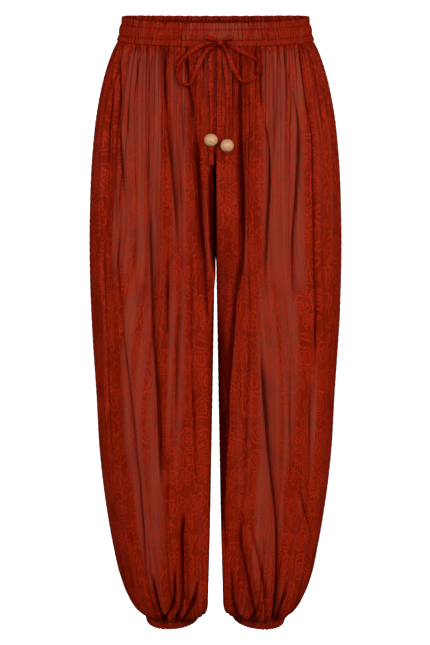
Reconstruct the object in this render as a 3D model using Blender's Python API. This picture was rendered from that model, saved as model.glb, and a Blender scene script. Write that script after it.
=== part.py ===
"""Harem pants, filled out as when worn: gathered legs, elastic waist and cuffs, a drawstring.

Frame: metres, +Z up.  The front faces -Y and the left of the front view is -X.
The origin is the middle of the waistband, where a wearer holds the garment up.

Every panel is worked out in one quadrant, in three sizes: across, the distance from
the centre plane; depth, the distance from the plane of the side seams; and height.
The signs side (-1 left, +1 right) and face (-1 front, +1 back) put it in its place.
"""
import math
from collections import namedtuple

import bmesh
import bpy
import numpy as np

# Cloth
WALL = 0.0016
SEAM_GAP = 0.0003
PANEL_COLUMNS = 30
GATHERS_PER_PANEL = 10
GATHER_UNEVEN = 0.2
GATHER_BEAT = 2.4
SIDE_SEAM_CALM = 0.06
INNER_SEAM_CALM = 0.10
SHARP_ANGLE = math.radians(50.0)

# The oval of the hips turns into the ovals of the legs, which meet in a deep cleft.
# The centre seam runs down the bottom of that cleft, back to the crotch.
OVAL_SPLIT_TOP = -0.080
OVAL_SPLIT_END = -0.175
CLEFT_TOP = -0.110
CROTCH = -0.350
CROTCH_OPENING = 0.020
CLEFT_TURN = 0.80
HIP_ROUNDNESS = 2.3
LEG_OUTER_ROUNDNESS = 2.2
LEG_INNER_ROUNDNESS = 5.0
CURVE_SAMPLES = 181
SLOPE_TURN = 0.002
SLOPE_RISE = 0.004

# The waist dips towards the front, and the cuffs hang lower there too.
FRONT_DROP = 0.012
BACK_RISE = 0.004
DIP_END = -0.125
CUFF_LEAN = 0.32
CUFF_ROLL = {-1: 0.060, 1: 0.100}
LEAN_START = -0.780

# Half sizes of the cloth at each height.  The leg gap is half the space between the legs.
Section = namedtuple("Section", "height half_width leg_gap front_depth back_depth")
SECTIONS = (
    Section(-0.0188, 0.1500, 0.0012, 0.1010, 0.1045),
    Section(-0.0300, 0.1545, 0.0012, 0.1045, 0.1085),
    Section(-0.0465, 0.1600, 0.0012, 0.1080, 0.1125),
    Section(-0.0730, 0.1680, 0.0012, 0.1120, 0.1175),
    Section(-0.1190, 0.1785, 0.0012, 0.1175, 0.1245),
    Section(-0.1890, 0.1878, 0.0012, 0.1215, 0.1305),
    Section(-0.2820, 0.1938, 0.0012, 0.1220, 0.1320),
    Section(-0.3750, 0.1942, 0.0016, 0.1200, 0.1300),
    Section(-0.4680, 0.1908, 0.0031, 0.1175, 0.1260),
    Section(-0.5610, 0.1850, 0.0047, 0.1140, 0.1210),
    Section(-0.6540, 0.1800, 0.0065, 0.1095, 0.1155),
    Section(-0.7470, 0.1690, 0.0082, 0.1035, 0.1085),
    Section(-0.7940, 0.1610, 0.0093, 0.0990, 0.1035),
    Section(-0.8400, 0.1500, 0.0105, 0.0915, 0.0960),
    Section(-0.8640, 0.1405, 0.0112, 0.0815, 0.0855),
    Section(-0.8850, 0.1275, 0.0130, 0.0680, 0.0715),
    Section(-0.8955, 0.1165, 0.0185, 0.0510, 0.0530),
    Section(-0.9010, 0.1088, 0.0256, 0.0405, 0.0405),
)
PANEL_ROWS = (-0.0188, -0.032, -0.050, -0.075, -0.110, -0.155, -0.205, -0.255, -0.300,
              -0.330, -0.352, -0.400, -0.470, -0.550, -0.630, -0.705, -0.770, -0.825,
              -0.862, -0.885, -0.8955, -0.9010)

# Gathers under the waistband and over the cuffs: ripple height at each height.
Ripple = namedtuple("Ripple", "height ripple")
GATHERS = (
    Ripple(-0.0188, 0.0014), Ripple(-0.034, 0.0034), Ripple(-0.060, 0.0042),
    Ripple(-0.095, 0.0034), Ripple(-0.140, 0.0018), Ripple(-0.220, 0.0000),
    Ripple(-0.780, 0.0000), Ripple(-0.830, 0.0016), Ripple(-0.870, 0.0032),
    Ripple(-0.8955, 0.0020), Ripple(-0.901, 0.0008),
)

# Long folds.  Across is the fold's distance from the centre plane at its top and its foot,
# reach is half its width, and rise is its height, less than nothing for a trough.
Fold = namedtuple("Fold", "top foot across_top across_foot reach rise")
FOLDS = {
    "leg_front_left": (
        Fold(-0.080, -0.330, 0.147, 0.170, 0.022, -0.0061),
        Fold(-0.060, -0.260, 0.117, 0.122, 0.020, 0.0061),
        Fold(-0.300, -0.680, 0.146, 0.120, 0.026, 0.0068),
        Fold(-0.100, -0.320, 0.072, 0.059, 0.020, -0.0061),
        Fold(-0.270, -0.700, 0.097, 0.083, 0.024, -0.0061),
        Fold(-0.090, -0.460, 0.032, 0.013, 0.016, -0.0081),
        Fold(-0.130, -0.420, 0.012, 0.008, 0.014, 0.0081),
        Fold(-0.640, -0.885, 0.114, 0.084, 0.022, -0.0061),
        Fold(-0.660, -0.880, 0.070, 0.060, 0.018, 0.0068),
        Fold(-0.740, -0.890, 0.045, 0.046, 0.016, -0.0061),
    ),
    "leg_front_right": (
        Fold(-0.060, -0.340, 0.041, 0.043, 0.018, -0.0088),
        Fold(-0.330, -0.660, 0.043, 0.017, 0.018, -0.0088),
        Fold(-0.100, -0.370, 0.072, 0.074, 0.020, 0.0068),
        Fold(-0.120, -0.410, 0.120, 0.117, 0.024, -0.0061),
        Fold(-0.110, -0.470, 0.140, 0.152, 0.022, 0.0061),
        Fold(-0.480, -0.780, 0.050, 0.042, 0.018, 0.0068),
        Fold(-0.500, -0.870, 0.069, 0.090, 0.020, -0.0068),
        Fold(-0.500, -0.700, 0.112, 0.112, 0.024, 0.0054),
        Fold(-0.530, -0.770, 0.145, 0.148, 0.022, -0.0054),
        Fold(-0.750, -0.885, 0.054, 0.072, 0.016, 0.0061),
    ),
    "leg_back_left": (
        Fold(-0.070, -0.300, 0.135, 0.158, 0.022, -0.0068),
        Fold(-0.080, -0.380, 0.095, 0.092, 0.022, 0.0068),
        Fold(-0.110, -0.470, 0.055, 0.045, 0.020, -0.0074),
        Fold(-0.340, -0.740, 0.150, 0.128, 0.026, 0.0068),
        Fold(-0.420, -0.800, 0.085, 0.076, 0.024, 0.0061),
        Fold(-0.560, -0.880, 0.055, 0.062, 0.020, -0.0068),
    ),
    "leg_back_right": (
        Fold(-0.060, -0.360, 0.125, 0.148, 0.022, 0.0068),
        Fold(-0.090, -0.330, 0.083, 0.078, 0.020, -0.0068),
        Fold(-0.100, -0.520, 0.045, 0.036, 0.020, 0.0074),
        Fold(-0.380, -0.700, 0.140, 0.132, 0.024, -0.0068),
        Fold(-0.430, -0.860, 0.098, 0.080, 0.024, 0.0061),
        Fold(-0.600, -0.880, 0.050, 0.060, 0.018, -0.0061),
    ),
}
FOLD_FADE = 0.060

# The waistband: a frilled header, a channel full of elastic, and a lower band.
BAND_COLUMNS = 28
BandRow = namedtuple("BandRow", "height half_width front_depth back_depth ripple wall")
BAND_ROWS = (
    BandRow(0.0175, 0.1424, 0.0962, 0.0990, 0.0010, 0.0018),
    BandRow(0.0075, 0.1452, 0.0982, 0.1012, 0.0004, 0.0020),
    BandRow(-0.0005, 0.1484, 0.1006, 0.1038, 0.0007, 0.0036),
    BandRow(-0.0088, 0.1480, 0.1002, 0.1036, 0.0004, 0.0020),
    BandRow(-0.0185, 0.1508, 0.1020, 0.1056, 0.0009, 0.0018),
)
BAND_INNER_ROWS = (4, 2, 0)
PLAIN_HALF_WIDTH = 0.032
PLAIN_RIPPLE = 0.3

# The cuffs: a casing round a narrow elastic.
CUFF_WAVES = 20
CUFF_COLUMNS = 2 * CUFF_WAVES
CUFF_CENTRE = 0.0672
CUFF_HALF_WIDTH = 0.0416
CUFF_HALF_DEPTH = 0.0400
CUFF_ROUNDNESS = 2.15
CuffRow = namedtuple("CuffRow", "height swell ripple")
CUFF_OUTER = (
    CuffRow(-0.9013, -0.0006, 0.0006),
    CuffRow(-0.9055, 0.0008, 0.0005),
    CuffRow(-0.9105, 0.0008, 0.0005),
    CuffRow(-0.9155, -0.0006, 0.0006),
)
CUFF_INNER = (
    CuffRow(-0.9155, -0.0026, 0.0006),
    CuffRow(-0.9013, -0.0026, 0.0006),
)

# The drawstring: a flat tape.  Rows are read as x, height, stand-off from the cloth,
# roll in degrees (0 flat on the cloth, 90 on edge) and the share of its full width.
TAPE_WIDTH = 0.0075
TAPE_THICKNESS = 0.0018
TAPE_SIDES = 6
Route = namedtuple("Route", "x height stand_off roll spread")
ROUTES = {
    "drawstring_arm_left": (10, (
        Route(-0.0160, -0.0145, 0.0014, 0, 0.80),
        Route(-0.0100, -0.0163, 0.0028, 10, 0.90),
        Route(-0.0045, -0.0188, 0.0048, 40, 0.75),
        Route(0.0011, -0.0221, 0.0072, 80, 0.55),
    )),
    "drawstring_arm_right": (8, (
        Route(0.0250, -0.0150, 0.0014, 0, 0.80),
        Route(0.0205, -0.0166, 0.0030, -15, 0.90),
        Route(0.0162, -0.0188, 0.0052, -45, 0.70),
        Route(0.0118, -0.0214, 0.0072, -80, 0.55),
    )),
    "drawstring_loop_left": (30, (
        Route(0.0008, -0.0245, 0.0086, 80, 0.55),
        Route(-0.0100, -0.0240, 0.0100, 40, 0.85),
        Route(-0.0230, -0.0285, 0.0085, 10, 1.00),
        Route(-0.0360, -0.0360, 0.0080, 20, 1.00),
        Route(-0.0480, -0.0465, 0.0080, 45, 1.00),
        Route(-0.0555, -0.0580, 0.0082, 70, 1.00),
        Route(-0.0578, -0.0690, 0.0082, 85, 1.00),
        Route(-0.0548, -0.0795, 0.0082, 90, 1.00),
        Route(-0.0470, -0.0865, 0.0082, 90, 1.00),
        Route(-0.0390, -0.0862, 0.0082, 90, 1.00),
        Route(-0.0345, -0.0790, 0.0085, 70, 1.00),
        Route(-0.0310, -0.0690, 0.0085, 30, 1.00),
        Route(-0.0260, -0.0577, 0.0088, 10, 1.00),
        Route(-0.0195, -0.0450, 0.0095, 20, 1.00),
        Route(-0.0110, -0.0350, 0.0105, 50, 0.80),
        Route(0.0018, -0.0272, 0.0088, 85, 0.55),
    )),
    "drawstring_loop_right": (30, (
        Route(0.0124, -0.0248, 0.0086, -80, 0.55),
        Route(0.0215, -0.0275, 0.0098, -45, 0.85),
        Route(0.0310, -0.0325, 0.0085, -10, 1.00),
        Route(0.0430, -0.0390, 0.0080, -15, 1.00),
        Route(0.0560, -0.0455, 0.0080, -35, 1.00),
        Route(0.0655, -0.0530, 0.0082, -70, 1.00),
        Route(0.0676, -0.0620, 0.0082, -88, 1.00),
        Route(0.0640, -0.0710, 0.0082, -90, 1.00),
        Route(0.0560, -0.0785, 0.0082, -90, 1.00),
        Route(0.0460, -0.0818, 0.0082, -90, 1.00),
        Route(0.0380, -0.0795, 0.0085, -80, 1.00),
        Route(0.0318, -0.0715, 0.0088, -45, 1.00),
        Route(0.0262, -0.0610, 0.0090, -15, 1.00),
        Route(0.0210, -0.0480, 0.0098, -20, 1.00),
        Route(0.0165, -0.0370, 0.0108, -50, 0.80),
        Route(0.0110, -0.0277, 0.0088, -85, 0.55),
    )),
    "drawstring_end_left": (20, (
        Route(0.0046, -0.0291, 0.0064, 85, 0.55),
        Route(-0.0010, -0.0350, 0.0055, 60, 0.75),
        Route(-0.0062, -0.0430, 0.0055, 20, 1.00),
        Route(-0.0078, -0.0530, 0.0055, 5, 1.00),
        Route(-0.0073, -0.0680, 0.0050, -20, 0.95),
        Route(-0.0072, -0.0900, 0.0045, 10, 1.00),
        Route(-0.0068, -0.1150, 0.0050, 45, 0.90),
        Route(-0.0063, -0.1380, 0.0076, 20, 0.80),
        Route(-0.0068, -0.1588, 0.0100, 5, 0.50),
    )),
    "drawstring_end_right": (20, (
        Route(0.0088, -0.0291, 0.0064, -85, 0.55),
        Route(0.0106, -0.0360, 0.0055, -60, 0.75),
        Route(0.0128, -0.0450, 0.0052, -20, 1.00),
        Route(0.0148, -0.0600, 0.0050, -5, 1.00),
        Route(0.0170, -0.0800, 0.0050, 20, 0.95),
        Route(0.0180, -0.1030, 0.0045, -15, 1.00),
        Route(0.0181, -0.1260, 0.0052, -45, 0.90),
        Route(0.0176, -0.1460, 0.0074, -20, 0.80),
        Route(0.0173, -0.1669, 0.0094, -5, 0.50),
    )),
}
KNOT_CENTRE = (0.0066, -0.0240)
KNOT_STAND_OFF = 0.0075
KNOT_HALF_SIZE = (0.0052, 0.0042, 0.0048)
KNOT_SIDES = 12
KNOT_RINGS = 8

# The beads: turned wood, a little flat at the holes, which are filled by the tape.
BEAD_DIAMETER = 0.0200
BEAD_HEIGHT = 0.0186
BEAD_HOLE = 0.0046
BEAD_STEPS = 9
BEAD_SIDES = 16
Bead = namedtuple("Bead", "x height tail_end")
BEADS = {
    "left": Bead(-0.0068, -0.1684, -0.2050),
    "right": Bead(0.0173, -0.1765, -0.2000),
}
BEAD_FRONT = -0.1300

# A stop knot and its tail: share of the way down, half width and half thickness.
KnotRow = namedtuple("KnotRow", "share half_width half_thickness")
STOP_KNOT = (
    KnotRow(0.00, 0.0020, 0.0016),
    KnotRow(0.06, 0.0038, 0.0030),
    KnotRow(0.15, 0.0045, 0.0036),
    KnotRow(0.24, 0.0036, 0.0028),
    KnotRow(0.31, 0.0018, 0.0014),
    KnotRow(0.45, 0.0028, 0.0010),
    KnotRow(0.70, 0.0034, 0.0009),
    KnotRow(1.00, 0.0038, 0.0009),
)
STOP_KNOT_SIDES = 8

CLOTH_COLOUR = (0.235, 0.022, 0.010)
TAPE_COLOUR = (0.200, 0.018, 0.009)
WOOD_COLOUR = (0.640, 0.410, 0.220)


def smooth_step(value):
    """0 below 0, 1 above 1, and a soft S between them."""
    value = np.clip(value, 0.0, 1.0)
    return value * value * (3.0 - 2.0 * value)


def read_curve(knots, values, place):
    """Read a smooth curve through values set at rising knots."""
    slopes = np.gradient(values, knots, axis=0)
    place = float(np.clip(place, knots[0], knots[-1]))
    low = int(np.clip(np.searchsorted(knots, place) - 1, 0, len(knots) - 2))
    step = knots[low + 1] - knots[low]
    share = (place - knots[low]) / step
    start = 2.0 * share ** 3 - 3.0 * share ** 2 + 1.0
    leave = (share ** 3 - 2.0 * share ** 2 + share) * step
    arrive = (share ** 3 - share ** 2) * step
    return (start * values[low] + leave * slopes[low]
            + (1.0 - start) * values[low + 1] + arrive * slopes[low + 1])


def read_table(rows, column, height):
    """Read one column of a table of falling heights."""
    heights = np.array([row.height for row in rows])[::-1]
    values = np.array([getattr(row, column) for row in rows])[::-1]
    return read_curve(heights, values, height)


def even_steps(across, depth, turns):
    """Points at even shares of the length of a curve."""
    lengths = np.hypot(np.diff(across), np.diff(depth))
    shares = np.concatenate(([0.0], np.cumsum(lengths)))
    shares /= shares[-1]
    return np.interp(turns, shares, across), np.interp(turns, shares, depth)


def quarter_oval(half_width, depth, roundness, turns):
    """A quarter of an oval, from the side seam (turn 0) to the centre (turn 1)."""
    angle = np.linspace(0.0, math.pi / 2.0, CURVE_SAMPLES)
    across = half_width * np.cos(angle).clip(0.0) ** (2.0 / roundness)
    forward = depth * np.sin(angle) ** (2.0 / roundness)
    return even_steps(across, forward, turns)


def half_leg(height, half_width, gap, depth, seam_depth, turns):
    """Half of a leg's oval, from the side seam (turn 0) round to the seam between the legs."""
    centre = (half_width + gap) / 2.0
    radius = (half_width - gap) / 2.0
    seam_angle = math.asin(min(seam_depth / depth, 1.0) ** (LEG_INNER_ROUNDNESS / 2.0))
    angle = np.linspace(0.0, math.pi - seam_angle, 2 * CURVE_SAMPLES - 1)
    outer = angle < math.pi / 2.0
    power = np.where(outer, 2.0 / LEG_OUTER_ROUNDNESS, 2.0 / LEG_INNER_ROUNDNESS)
    cosine = np.cos(angle)
    across = centre + radius * np.sign(cosine) * np.abs(cosine) ** power
    forward = depth * np.abs(np.sin(angle)) ** power
    across, forward = even_steps(across, forward, turns)
    parted = smooth_step((CROTCH + CROTCH_OPENING - height) / CROTCH_OPENING)
    end = SEAM_GAP / 2.0 + (gap - SEAM_GAP / 2.0) * parted
    pull = smooth_step((turns - CLEFT_TURN) / (1.0 - CLEFT_TURN))
    return across - (across[-1] - end) * pull, forward


def section_at(height, face, turns):
    """Across and depth of the plain cloth, before its folds, at one height."""
    half_width = read_table(SECTIONS, "half_width", height)
    gap = read_table(SECTIONS, "leg_gap", height)
    depth = read_table(SECTIONS, "front_depth" if face < 0 else "back_depth", height)
    cleft = smooth_step((CLEFT_TOP - height) / (CLEFT_TOP - CROTCH))
    fine = np.linspace(0.0, 1.0, CURVE_SAMPLES)
    hip = quarter_oval(half_width, depth, HIP_ROUNDNESS, fine)
    leg = half_leg(height, half_width, gap, depth, depth * (1.0 - cleft), fine)
    split = smooth_step((OVAL_SPLIT_TOP - height) / (OVAL_SPLIT_TOP - OVAL_SPLIT_END))
    across = hip[0] + (leg[0] - hip[0]) * split
    forward = hip[1] + (leg[1] - hip[1]) * split
    return np.interp(turns, fine, across), np.interp(turns, fine, forward)


def outward(height, face, turns):
    """Unit normals of the plain cloth, pointing out."""
    before = section_at(height, face, np.clip(turns - SLOPE_TURN, 0.0, 1.0))
    after = section_at(height, face, np.clip(turns + SLOPE_TURN, 0.0, 1.0))
    top = min(height + SLOPE_RISE, PANEL_ROWS[0])
    foot = max(height - SLOPE_RISE, PANEL_ROWS[-1])
    above = section_at(top, face, turns)
    below = section_at(foot, face, turns)
    along = np.array([after[0] - before[0], after[1] - before[1]])
    upward = np.array([above[0] - below[0], above[1] - below[1]]) / (top - foot)
    normal = np.array([along[1], -along[0], along[0] * upward[1] - along[1] * upward[0]])
    if height in (PANEL_ROWS[0], PANEL_ROWS[-1]):
        normal[2] = 0.0
    return normal / np.linalg.norm(normal, axis=0)


def gather_ripple(height, turns):
    """Ripples that spread from the waistband and from the cuff."""
    size = read_table(GATHERS, "ripple", height)
    wave = turns * GATHERS_PER_PANEL
    uneven = 1.0 - GATHER_UNEVEN * (1.0 - np.sin(GATHER_BEAT * np.floor(wave + 0.5)))
    return size * uneven * np.cos(2.0 * math.pi * wave)


def fold_lift(name, face, height, turns):
    """How far the long folds lift the cloth at one height."""
    fine = np.linspace(0.0, 1.0, CURVE_SAMPLES)
    across, forward = section_at(height, face, fine)
    girth = float(np.sum(np.hypot(np.diff(across), np.diff(forward))))
    lift = np.zeros_like(turns)
    for fold in FOLDS[name]:
        share = (fold.top - height) / (fold.top - fold.foot)
        if not 0.0 < share < 1.0:
            continue
        place = fold.across_top + (fold.across_foot - fold.across_top) * share
        turn = np.interp(place, across[::-1], fine[::-1])
        offset = np.abs(turns - turn) * girth / fold.reach
        strength = (smooth_step((fold.top - height) / FOLD_FADE)
                    * smooth_step((height - fold.foot) / FOLD_FADE))
        lift += fold.rise * strength * np.cos(np.clip(offset, 0.0, 1.0) * math.pi / 2.0) ** 2
    return lift * edge_calm(turns)


def edge_calm(turns):
    """Folds die away at the seams, so that the panels still meet there."""
    return smooth_step(turns / SIDE_SEAM_CALM) * smooth_step((1.0 - turns) / INNER_SEAM_CALM)


def dip(forward, depth):
    """Drop of the waist at a place in front of (below 0) or behind the side seams."""
    share = forward / depth
    return (FRONT_DROP + BACK_RISE) / 2.0 * share - (FRONT_DROP - BACK_RISE) / 2.0 * share ** 2


def settle(points, side, face, height):
    """Turn quadrant points into real ones, with the dip of the waist and the lean of the cuff."""
    across = np.maximum(points[0], SEAM_GAP / 2.0)
    forward = face * np.maximum(points[1], SEAM_GAP / 2.0)
    depth = read_table(SECTIONS, "front_depth" if face < 0 else "back_depth", height)
    near_waist = smooth_step((height - DIP_END) / (PANEL_ROWS[0] - DIP_END))
    near_cuff = smooth_step((LEAN_START - height) / (LEAN_START - PANEL_ROWS[-1]))
    lean = CUFF_LEAN * forward - CUFF_ROLL[side] * (across - CUFF_CENTRE)
    level = points[2] + near_waist * dip(forward, depth) + near_cuff * lean
    return [(side * a, f, z) for a, f, z in zip(across, forward, level)]


def add_mesh(name, vertices, faces, material):
    """Add one closed object with its faces pointing out."""
    mesh = bpy.data.meshes.new(name)
    mesh.from_pydata(vertices, [], faces)
    shape = bmesh.new()
    shape.from_mesh(mesh)
    bmesh.ops.recalc_face_normals(shape, faces=shape.faces)
    shape.to_mesh(mesh)
    shape.free()
    mesh.shade_smooth()
    mesh.set_sharp_from_angle(angle=SHARP_ANGLE)
    mesh.materials.append(material)
    item = bpy.data.objects.new(name, mesh)
    bpy.context.scene.collection.objects.link(item)
    return item


def add_wall(name, outer, inner, material):
    """A cloth wall from two grids of points, closed round its four edges."""
    rows = len(outer)
    columns = len(outer[0])
    vertices = [point for grid in (outer, inner) for row in grid for point in row]
    layer = rows * columns
    faces = []
    for row in range(rows - 1):
        for column in range(columns - 1):
            corner = row * columns + column
            quad = (corner, corner + 1, corner + columns + 1, corner + columns)
            faces.append(quad)
            faces.append(tuple(index + layer for index in reversed(quad)))
    rim = list(range(columns))
    rim += [row * columns + columns - 1 for row in range(1, rows)]
    rim += [(rows - 1) * columns + column for column in range(columns - 2, -1, -1)]
    rim += [row * columns for row in range(rows - 2, 0, -1)]
    for here, there in zip(rim, rim[1:] + rim[:1]):
        faces.append((there, here, here + layer, there + layer))
    return add_mesh(name, vertices, faces, material)


def add_tube(name, rings, material, closed):
    """Skin a row of rings: closed into a hoop, or open with a cap on each end."""
    sides = len(rings[0])
    vertices = [point for ring in rings for point in ring]
    faces = []
    last = len(rings) if closed else len(rings) - 1
    for row in range(last):
        below = (row + 1) % len(rings) * sides
        for side in range(sides):
            beside = (side + 1) % sides
            faces.append((row * sides + side, row * sides + beside, below + beside, below + side))
    if not closed:
        faces.append(tuple(range(sides)))
        faces.append(tuple((len(rings) - 1) * sides + side for side in range(sides)))
    return add_mesh(name, vertices, faces, material)


def build_panel(name, side, face, material):
    """One leg panel, from the waistband to the cuff."""
    turns = np.linspace(0.0, 1.0, PANEL_COLUMNS + 1)
    outer = []
    inner = []
    for height in PANEL_ROWS:
        plain = np.array([*section_at(height, face, turns), np.full_like(turns, height)])
        normal = outward(height, face, turns)
        lift = gather_ripple(height, turns) + fold_lift(name, face, height, turns)
        outer.append(settle(plain + normal * lift, side, face, height))
        inner.append(settle(plain + normal * (lift - WALL), side, face, height))
    return add_wall(name, outer, inner, material)


def band_ring(row, inside):
    """One line round the waistband: outside, or inside its wall."""
    ring = []
    turns = np.arange(BAND_COLUMNS) / BAND_COLUMNS
    for quarter, (side, face) in enumerate(((-1, -1), (1, -1), (1, 1), (-1, 1))):
        depth = row.front_depth if face < 0 else row.back_depth
        shares = turns if quarter % 2 == 0 else 1.0 - turns
        across, forward = quarter_oval(row.half_width, depth, HIP_ROUNDNESS, shares)
        for column in range(BAND_COLUMNS):
            x = side * across[column]
            y = face * forward[column]
            plain = face < 0 and abs(x) < PLAIN_HALF_WIDTH
            size = row.ripple * (PLAIN_RIPPLE if plain else 1.0)
            lift = (size if column % 2 else -size) - (row.wall if inside else 0.0)
            out = np.array([x / row.half_width ** 2, y / depth ** 2])
            out /= np.linalg.norm(out)
            z = row.height + dip(y, depth)
            ring.append((x + out[0] * lift, y + out[1] * lift, z))
    return ring


def build_waistband(material):
    """The waistband: a hoop whose ripples are deepest at its frilled header."""
    rings = [band_ring(row, False) for row in BAND_ROWS]
    rings += [band_ring(BAND_ROWS[index], True) for index in BAND_INNER_ROWS]
    return add_tube("waistband", rings, material, closed=True)


def build_cuff(name, side, material):
    """A cuff: a hoop that leans with the foot of its leg."""
    angle = 2.0 * math.pi * np.arange(CUFF_COLUMNS) / CUFF_COLUMNS
    wave = np.where(np.arange(CUFF_COLUMNS) % 2, 1.0, -1.0)
    rings = []
    for row in CUFF_OUTER + CUFF_INNER:
        grow = row.swell + row.ripple * wave
        power = 2.0 / CUFF_ROUNDNESS
        cosine = np.sign(np.cos(angle)) * np.abs(np.cos(angle)) ** power
        sine = np.sign(np.sin(angle)) * np.abs(np.sin(angle)) ** power
        across = CUFF_CENTRE + (CUFF_HALF_WIDTH + grow) * cosine
        forward = (CUFF_HALF_DEPTH + grow) * sine
        lean = CUFF_LEAN * forward - CUFF_ROLL[side] * (across - CUFF_CENTRE)
        rings.append([(side * a, f, row.height + rise) for a, f, rise in zip(across, forward, lean)])
    return add_tube(name, rings, material, closed=True)


def cloth_front(x, height):
    """How far forward the front of the garment reaches at a place in front view."""
    row_height = height + FRONT_DROP * smooth_step((height - DIP_END) / -DIP_END)
    if row_height > PANEL_ROWS[0]:
        half_width = read_table(BAND_ROWS, "half_width", row_height)
        depth = read_table(BAND_ROWS, "front_depth", row_height)
    else:
        half_width = read_table(SECTIONS, "half_width", row_height)
        depth = read_table(SECTIONS, "front_depth", row_height)
    flat = 1.0 - (abs(x) / half_width) ** HIP_ROUNDNESS
    return depth * flat ** (1.0 / HIP_ROUNDNESS)


def smooth_route(rows, count):
    """Read a route at even steps on a smooth curve through its rows."""
    table = np.array([(row.x, -cloth_front(row.x, row.height) - row.stand_off, row.height,
                       math.radians(row.roll), row.spread) for row in rows])
    steps = np.linalg.norm(np.diff(table[:, :3], axis=0), axis=1)
    knots = np.concatenate(([0.0], np.cumsum(steps)))
    places = np.linspace(0.0, knots[-1], count)
    return np.array([read_curve(knots, table, place) for place in places])


def build_tape(name, material):
    """One stretch of the flat drawstring."""
    count, rows = ROUTES[name]
    route = smooth_route(rows, count)
    centres = route[:, :3]
    tangents = np.gradient(centres, axis=0)
    rings = []
    for centre, tangent, roll, spread in zip(centres, tangents, route[:, 3], route[:, 4]):
        tangent = tangent / np.linalg.norm(tangent)
        facing = np.array((0.0, -1.0, 0.0))
        facing = facing - tangent * np.dot(facing, tangent)
        facing /= np.linalg.norm(facing)
        wide = np.cross(tangent, facing)
        width = math.cos(roll) * wide + math.sin(roll) * facing
        thick = math.cos(roll) * facing - math.sin(roll) * wide
        ring = []
        for corner in range(TAPE_SIDES):
            angle = 2.0 * math.pi * corner / TAPE_SIDES
            ring.append(tuple(centre + width * math.cos(angle) * TAPE_WIDTH * spread / 2.0
                              + thick * math.sin(angle) * TAPE_THICKNESS / 2.0))
        rings.append(ring)
    return add_tube(name, rings, material, closed=False)


def build_knot(material):
    """The bow's knot: a small rounded lump between the tapes that meet at it."""
    x, height = KNOT_CENTRE
    mesh = bpy.data.meshes.new("drawstring_knot")
    shape = bmesh.new()
    bmesh.ops.create_uvsphere(shape, u_segments=KNOT_SIDES, v_segments=KNOT_RINGS, radius=1.0)
    bmesh.ops.scale(shape, vec=KNOT_HALF_SIZE, verts=shape.verts)
    shape.to_mesh(mesh)
    shape.free()
    mesh.shade_smooth()
    mesh.materials.append(material)
    item = bpy.data.objects.new("drawstring_knot", mesh)
    item.location = (x, -cloth_front(x, height) - KNOT_STAND_OFF, height)
    bpy.context.scene.collection.objects.link(item)


def build_bead(name, bead, material):
    """A turned bead, flat where its hole meets the tape."""
    rings = []
    flat = math.asin(BEAD_HOLE / BEAD_DIAMETER)
    for step in range(BEAD_STEPS):
        angle = flat + (math.pi - 2.0 * flat) * step / (BEAD_STEPS - 1)
        radius = BEAD_DIAMETER / 2.0 * math.sin(angle)
        drop = BEAD_HEIGHT / 2.0 * math.cos(angle) / math.cos(flat)
        rings.append([(bead.x + radius * math.cos(2.0 * math.pi * side / BEAD_SIDES),
                       BEAD_FRONT + radius * math.sin(2.0 * math.pi * side / BEAD_SIDES),
                       bead.height + drop) for side in range(BEAD_SIDES)])
    return add_tube(name, rings, material, closed=False)


def build_stop_knot(name, bead, material):
    """The knot that holds a bead on, and the tail of tape below it."""
    top = bead.height - BEAD_HEIGHT / 2.0 - SEAM_GAP
    rings = []
    for row in STOP_KNOT:
        height = top + (bead.tail_end - top) * row.share
        ring = []
        for side in range(STOP_KNOT_SIDES):
            angle = 2.0 * math.pi * side / STOP_KNOT_SIDES
            ring.append((bead.x + row.half_width * math.cos(angle),
                         BEAD_FRONT + row.half_thickness * math.sin(angle), height))
        rings.append(ring)
    return add_tube(name, rings, material, closed=False)


def new_material(name, colour, roughness):
    """A plain finish."""
    material = bpy.data.materials.new(name)
    material.use_nodes = True
    shader = material.node_tree.nodes["Principled BSDF"]
    shader.inputs["Base Color"].default_value = (*colour, 1.0)
    shader.inputs["Roughness"].default_value = roughness
    shader.inputs["Metallic"].default_value = 0.0
    return material


def main():
    """Build every piece of the garment."""
    for item in list(bpy.data.objects):
        bpy.data.objects.remove(item, do_unlink=True)
    cloth = new_material("printed_crepe", CLOTH_COLOUR, 0.75)
    tape = new_material("tape_cloth", TAPE_COLOUR, 0.75)
    wood = new_material("bead_wood", WOOD_COLOUR, 0.45)
    for side, side_name in ((-1, "left"), (1, "right")):
        for face, face_name in ((-1, "front"), (1, "back")):
            build_panel(f"leg_{face_name}_{side_name}", side, face, cloth)
        build_cuff(f"cuff_{side_name}", side, cloth)
        build_bead(f"bead_{side_name}", BEADS[side_name], wood)
        build_stop_knot(f"stop_knot_{side_name}", BEADS[side_name], tape)
    build_waistband(cloth)
    for name in ROUTES:
        build_tape(name, tape)
    build_knot(tape)


main()
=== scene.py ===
"""Looks of the harem pants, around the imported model.

Frame: metres, +Z up.  The front faces -Y and the left of the front view is -X.  The
cloth is worked out as in the part: in one quadrant, by across (distance from the centre
plane), depth (distance from the plane of the side seams) and height, with the signs
side (-1 left, +1 right) and face (-1 front, +1 back) to put it in its place.  The rows
of the tables are in millimetres.
"""
import math
from collections import namedtuple

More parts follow.
